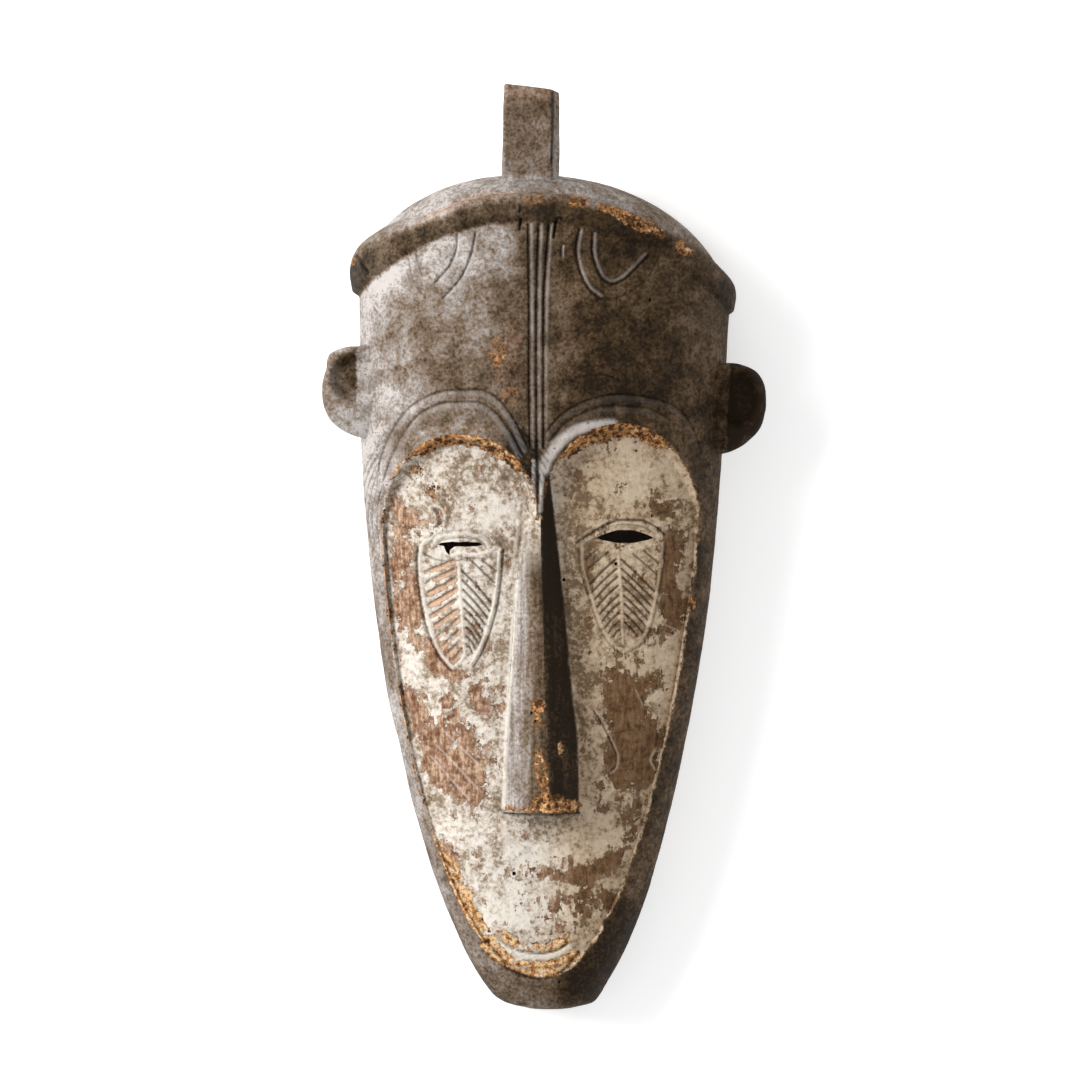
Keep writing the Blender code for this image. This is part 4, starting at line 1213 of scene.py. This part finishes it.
def clay_and_wood(tones):
    """Bare patinated wood, white clay worn from the face and fresh ochre chips, with painted light and
    shade laid into their colours.
    """
    f = Finish("Carved wood with white clay")
    broad = f.noise(0.030, detail=3.0) - 0.5
    blotch = f.noise(0.011, (1, 1.2, 2.4), detail=7.0, rough=0.66, shift=1.3) - 0.5
    mottle = f.noise(0.0045, (1, 1.1, 2.4), detail=6.0, rough=0.68) - 0.5
    speck = f.noise(0.0018, detail=3.0, rough=0.6, shift=3.0) - 0.5
    grain = f.noise(0.0014, (1, 14, 3), detail=3.0, shift=7.0) - 0.5
    streak = f.noise(0.0026, (1, 16, 4), detail=4.0, shift=11.0) - 0.5
    ragged = f.noise(0.0125, detail=9.0, rough=0.68, shift=17.0) - 0.5
    ragged_fine = f.noise(0.0030, detail=6.0, rough=0.7, shift=23.0) - 0.5
    flecks = f.noise(0.0023, detail=4.0, rough=0.62, shift=29.0) - 0.5
    slanted = f.node("ShaderNodeMapping", None, {"Vector": f.place, "Rotation": (0, 0, radians(-52)),
                                                 "Scale": (520, 110, 300)})
    scratches = f.node("ShaderNodeTexNoise", None, {"Vector": slanted, "Scale": 1.0, "Detail": 5.0,
                                                    "Roughness": 0.65}) - 0.5

    heart, worn, chip = f.mark("heart"), f.mark("worn"), f.mark("ochre")
    nose, cut, ridge_and_highlight, inside = f.mark("nose"), f.mark("cut"), f.mark("ridge_and_highlight"), f.mark("inside")

    tone = f.mark("patina_and_painted_light") + blotch * 1.05 + mottle * 0.8 + broad * 0.8 + speck * 1.1 + grain * 0.12
    tone = tone + nose * (streak * 0.9 - mottle * 0.6 - blotch * 0.8)
    wood = f.ramp(tone, (
        (0.0, tones.darkest), (0.28, tones.dark), (0.52, tones.middle), (0.78, tones.pale),
        (1.0, tones.palest)))

    # The right half is painted darker, with umber over its wood, tan for its clay and darker bare wood:
    # partly their own browner tone and partly painted shade of the side turned from the light.
    right = f.node("ShaderNodeSeparateXYZ", None, {0: f.place}).step(-0.012, 0.022)
    wood = f.stained_and_shaded(right * (1 - tone.step(0.5, 0.8)), wood, tones.umber_and_shade)
    soiling = broad * 1.1 + blotch * 1.8 + mottle * 1.5 + flecks * 1.9
    # Dirt of the clay, beside the nose partly painted shadow of the nose.
    dirt_and_shade = f.mark("stain_and_shade") + soiling * (1 - right * 0.25)
    clay = f.ramp(dirt_and_shade, (
        (0.0, tones.clay_white), (0.35, tones.clay), (0.62, tones.clay_dirty), (1.0, tones.clay_grey)))
    tan = f.ramp(dirt_and_shade, (
        (0.0, tones.tan_pale), (0.38, tones.tan), (0.7, tones.tan_dark), (1.0, tones.middle)))
    clay = f.blend(right, clay, tan)

    bare_tone = 0.5 + scratches * 2.2 + mottle * 2.2 + flecks * 1.4
    bare = f.ramp(bare_tone, ((0.1, tones.bare_dark), (0.5, tones.bare), (0.95, tones.bare_pale)))
    shady = f.ramp(bare_tone, ((0.1, tones.dark), (0.5, tones.bare_right), (0.95, tones.tan_dark)))
    bare = f.blend(right, bare, shady)

    bare = f.blend(f.mark("furrow") * (0.8 + mottle * 2.5), bare, tones.furrow)

    wear = worn + ragged * 4.2 + ragged_fine * 2.0 + scratches * 1.6
    lost = wear.step(0.43, 0.63)
    face = f.blend(lost, clay, bare)
    # Pale raised lines: partly white clay and pale wood of their own, partly painted highlight.
    burr = f.blend(right, tones.clay_white, tones.tan_pale)
    face = f.blend(ridge_and_highlight * (0.85 + blotch * 1.5), face, burr)

    border = heart + ragged * 9.0 + ragged_fine * 5.0
    clayed = border.step(-0.4, 0.9) * (1 - nose)
    # The rubbed wood includes a painted highlight along the band's upper edge.
    rubbed = (worn + ragged_fine * 1.6 + flecks * 1.2).step(0.25, 0.75) * (1 - border.step(-3.0, -1.0))
    worn_wood = f.ramp(tone, (
        (0.1, tones.bare_dark), (0.5, tones.rubbed), (0.9, tones.rubbed_pale)))
    wood = f.blend(rubbed * 0.75, wood, worn_wood)
    colour = f.blend(clayed, wood, face)
    colour = f.blend(ridge_and_highlight * (0.85 + blotch * 2.0) * (1 - clayed), colour, tones.palest)

    fresh = chip + ragged_fine * 3.4 + blotch * 1.6 + speck * 1.2
    chipped = chip.step(0.04, 0.20)
    burnt = fresh.step(0.02, 0.36) * chip.step(0.45, 0.62) * (1 - clayed) * 0.75
    colour = f.shaded(colour, 1 - burnt)
    colour = f.blend(fresh.step(0.05, 0.55) * chipped * 0.5 * (1 - clayed), colour, tones.ochre)
    low_down = 1 - f.node("ShaderNodeSeparateXYZ", None, {0: f.place}, "Y").step(-0.16, -0.13)
    gold_tone = 0.34 + mottle * 3.2 + flecks * 4.2 + low_down * 0.45
    gold = f.ramp(gold_tone, (
        (0.05, tones.ochre_dark), (0.42, tones.ochre), (0.68, tones.ochre), (1.0, tones.ochre_pale)))
    gold_cover = fresh.step(0.42, 0.58) * chipped
    colour = f.blend(gold_cover, colour, gold)

    pits = (speck + mottle * 0.7).step(0.13, 0.22) * (0.6 - clayed * 0.2)
    # Grooves, cracks and beetle holes darkened: partly their own dark and dirt, partly painted shade.
    shade = cut * (0.88 - flecks * 1.0)
    colour = f.shaded(colour, 1 - shade.least(0.93))
    colour = f.shaded(colour, 1 - pits)
    raw = f.ramp(0.5 + grain * 2.0 + broad, ((0.2, tones.bare_dark), (0.8, tones.bare)))
    colour = f.blend(inside, colour, raw)

    clay_skin = clayed * (1 - lost) * (1 - gold_cover)
    height = (clay_skin * 0.45 - gold_cover * 0.3 + mottle * 0.9 + grain * 0.15 + speck * 0.6
              + ragged_fine * 0.7 + (1 - pits) * 0.3)
    bump = f.node("ShaderNodeBump", None, {"Strength": 0.9, "Distance": 0.0007, "Height": height})
    rough = 0.80 + clay_skin * 0.12 - mottle * 0.3
    shader = f.node("ShaderNodeBsdfPrincipled", None,
                    {"Base Color": colour, "Roughness": rough, "Normal": bump,
                     "Specular IOR Level": 0.10})
    return f.output(shader)


def plain_floor(settings):
    """Matt pale floor that glows of itself, lifting the mask's shadow on it, but not in an oval hidden
    under the mask.
    """
    f = Finish("Pale floor")
    scale = (1 / DARK_OVAL[0], 1 / DARK_OVAL[1], 1)
    spread = f.node("ShaderNodeMapping", None, {"Vector": f.place, "Scale": scale})
    away = f.node("ShaderNodeVectorMath", {"operation": "LENGTH"}, {0: spread}, "Value")
    glow = f.blend(away.step(0.93, 1.0), (0.0, 0.0, 0.0), (1.0, 1.0, 1.0))
    shader = f.node("ShaderNodeBsdfPrincipled", None,
                    {"Base Color": (*settings.floor_colour, 1.0), "Roughness": 0.9,
                     "Emission Color": glow, "Emission Strength": settings.floor_glow})
    return f.output(shader)


def tone_property(name, colour):
    """A colour that a user may change."""
    return FloatVectorProperty(name=name, description="Colour: " + name.lower(), default=colour,
                               subtype="COLOR", min=0.0, max=1.0)


def length(name, description, default, **more):
    """A length that a user may change, in metres."""
    return FloatProperty(name=name, description=description, default=default, unit="LENGTH", **more)


class MaskSizes(bpy.types.PropertyGroup):
    """Fineness of the carved mesh."""

    row_step: length("Row step", "Distance between rows over the eyes", 0.00052, min=0.0003,
                     precision=5)
    columns: IntProperty(name="Columns", description="Points across the outer surface",
                         default=470, min=120)
    triangles: IntProperty(name="Triangles", description="Triangles kept on the outer surface",
                           default=156000, min=20000)


class MaskTones(bpy.types.PropertyGroup):
    """Colours of the wood, the clay and the worn places."""

    darkest: tone_property("Darkest patina", (0.017, 0.011, 0.006))
    dark: tone_property("Dark patina", (0.063, 0.040, 0.021))
    middle: tone_property("Middle patina", (0.136, 0.096, 0.066))
    pale: tone_property("Pale patina", (0.240, 0.209, 0.187))
    palest: tone_property("Palest patina", (0.420, 0.386, 0.362))
    clay_white: tone_property("White clay", (0.625, 0.575, 0.508))
    clay: tone_property("Clay", (0.470, 0.408, 0.345))
    clay_dirty: tone_property("Dirty clay", (0.270, 0.210, 0.150))
    clay_grey: tone_property("Grey clay", (0.125, 0.090, 0.060))
    # The tan clays colour the clay of the right half: browner partly of their own and partly with painted
    # shade.
    tan_pale: tone_property("Pale tan clay", (0.560, 0.450, 0.330))
    tan: tone_property("Tan clay", (0.440, 0.332, 0.226))
    tan_dark: tone_property("Dark tan clay", (0.190, 0.124, 0.067))
    bare: tone_property("Bare wood", (0.245, 0.140, 0.086))
    bare_dark: tone_property("Dark bare wood", (0.115, 0.052, 0.027))
    bare_pale: tone_property("Pale bare wood", (0.480, 0.330, 0.230))
    bare_right: tone_property("Bare wood in the shade", (0.148, 0.074, 0.034))
    # The umber browns the right half: partly its own darker patina and partly painted shade.
    umber_and_shade: tone_property("Umber over the darker half", (1.000, 0.930, 0.820))
    furrow: tone_property("Furrows of the left leaf", (0.540, 0.365, 0.250))
    rubbed: tone_property("Rubbed wood", (0.230, 0.150, 0.105))
    rubbed_pale: tone_property("Pale rubbed wood", (0.470, 0.350, 0.280))
    ochre: tone_property("Ochre chips", (0.350, 0.160, 0.055))
    ochre_dark: tone_property("Dark ochre chips", (0.050, 0.022, 0.009))
    ochre_pale: tone_property("Pale ochre chips", (0.620, 0.435, 0.245))


class StudioSettings(bpy.types.PropertyGroup):
    """Camera, light and floor."""

    camera_height: length("Camera height", "Height of the camera above the rim", 3.0)
    frame_width: length("Frame width", "Width that the picture shows at the middle of the mask", 0.5616)
    frame_depth: length("Frame depth", "Height above the rim where that width is measured", 0.020)
    key_power: FloatProperty(name="Key light", description="Power of the key light in watts",
                             default=46.0)
    fill_power: FloatProperty(name="Fill light", description="Power of the fill light in watts",
                              default=8.0)
    sky: FloatProperty(name="Sky", description="Strength of the even light from all round",
                       default=0.55)
    floor_size: length("Floor size", "Side of the floor", 12.0)
    floor_colour: tone_property("Floor", (0.80, 0.80, 0.80))
    floor_glow: FloatProperty(name="Floor glow", description="Light that the floor gives of itself",
                              default=0.45)


class MASK_OT_carve(bpy.types.Operator):
    """Carve the mask with its relief and paint it with clay and patina, with painted light and shade"""

    bl_idname = "face_mask.carve"
    bl_label = "Carve the mask"

    def execute(self, context):
        sizes, tones = context.scene.face_mask_sizes, context.scene.face_mask_tones
        rows = heights_of_rows(sizes.row_step / MM)
        mask = placed(lofted("carved_mask", outer_grid(rows, sizes.columns)), "carved_mask")
        thinned(mask, sizes.triangles)
        for side, name in enumerate(("left ear", "right ear")):
            boolean(mask, ear(side, name), "UNION")
        boolean(mask, prong("prong"), "UNION")
        boolean(mask, hollow(), "DIFFERENCE")
        boolean(mask, bench(), "DIFFERENCE")
        for side, opening in zip(("left", "right"), SLITS):
            boolean(mask, slit(side + " slit", opening), "DIFFERENCE")
        boolean(mask, prism("slit break", SLIT_BREAK, *through_wall()), "DIFFERENCE")
        boolean(mask, beetle_holes("beetle holes"), "DIFFERENCE")
        keep_in_box(mask.data)
        write_marks(mask.data)
        mask.data.shade_smooth()
        mask.data.set_sharp_from_angle(angle=radians(60))
        mask.data.materials.clear()
        mask.data.materials.append(clay_and_wood(tones))
        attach(mask, "root")
        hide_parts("mask")
        return {"FINISHED"}


# Studio, in metres: what the lights face, place and size of each light, the camera's X and
# Y, and the oval hidden under the mask where the floor doesn't glow.
MASK_MIDDLE = (0.0, 0.0, 0.06)
KEY_LIGHT = ((-1.35, 0.55, 1.15), 1.1)
FILL_LIGHT = ((0.9, -0.9, 1.9), 1.6)
VIEW_CENTRE = (-0.00208, 0.0052)
DARK_OVAL = (0.080, 0.200)


def area_light(name, place, size, power):
    """Soft square light that faces the mask."""
    data = bpy.data.lights.new(name, "AREA")
    data.size, data.energy = size, power
    light = bpy.data.objects.new(name, data)
    light.location = place
    light.rotation_euler = (Vector(MASK_MIDDLE) - Vector(place)).to_track_quat("-Z", "Y").to_euler()
    bpy.context.scene.collection.objects.link(light)


class MASK_OT_stage(bpy.types.Operator):
    """Set the plain floor, the soft light and the camera that looks down on the mask"""

    bl_idname = "face_mask.stage"
    bl_label = "Set the studio"

    def execute(self, context):
        studio = context.scene.face_mask_studio
        bm = bmesh.new()
        bmesh.ops.create_grid(bm, x_segments=1, y_segments=1, size=studio.floor_size / 2)
        floor = solid(bm, "floor")
        floor.data.materials.append(plain_floor(studio))
        area_light("key light", *KEY_LIGHT, studio.key_power)
        area_light("fill light", *FILL_LIGHT, studio.fill_power)
        world = bpy.data.worlds.new("Studio")
        world.use_nodes = True
        sky = world.node_tree.nodes["Background"]
        sky.inputs["Color"].default_value = (1.0, 1.0, 1.0, 1.0)
        sky.inputs["Strength"].default_value = studio.sky
        context.scene.world = world
        data = bpy.data.cameras.new("camera")
        data.sensor_width = 36.0
        data.lens = data.sensor_width * (studio.camera_height - studio.frame_depth) / studio.frame_width
        camera = bpy.data.objects.new("camera", data)
        camera.location = (*VIEW_CENTRE, studio.camera_height)
        context.scene.collection.objects.link(camera)
        context.scene.camera = camera
        context.scene.view_settings.view_transform = "Standard"
        return {"FINISHED"}


class MASK_PT_panel(bpy.types.Panel):
    """Lists the mask's steps and settings"""

    bl_label = "Carved face mask"
    bl_idname = "MASK_PT_panel"
    bl_space_type = "VIEW_3D"
    bl_region_type = "UI"
    bl_category = "Mask"

    def draw(self, context):
        layout = self.layout
        for step, group in ((MASK_OT_carve, "face_mask_sizes"), (MASK_OT_stage, "face_mask_studio")):
            box = layout.box()
            settings = getattr(context.scene, group)
            for name in settings.__annotations__:
                box.prop(settings, name)
            box.operator(step.bl_idname)
        box = layout.box()
        for name in context.scene.face_mask_tones.__annotations__:
            box.prop(context.scene.face_mask_tones, name)


CLASSES = (MaskSizes, MaskTones, StudioSettings, MASK_OT_carve, MASK_OT_stage, MASK_PT_panel)


def register():
    for each in CLASSES:
        bpy.utils.register_class(each)
    bpy.types.Scene.face_mask_sizes = PointerProperty(type=MaskSizes)
    bpy.types.Scene.face_mask_tones = PointerProperty(type=MaskTones)
    bpy.types.Scene.face_mask_studio = PointerProperty(type=StudioSettings)


def unregister():
    del bpy.types.Scene.face_mask_studio
    del bpy.types.Scene.face_mask_tones
    del bpy.types.Scene.face_mask_sizes
    for each in reversed(CLASSES):
        bpy.utils.unregister_class(each)


def main():
    """Build the mask and set its studio."""
    register()
    bpy.ops.face_mask.carve()
    bpy.ops.face_mask.stage()


if __name__ == "__main__":
    main()
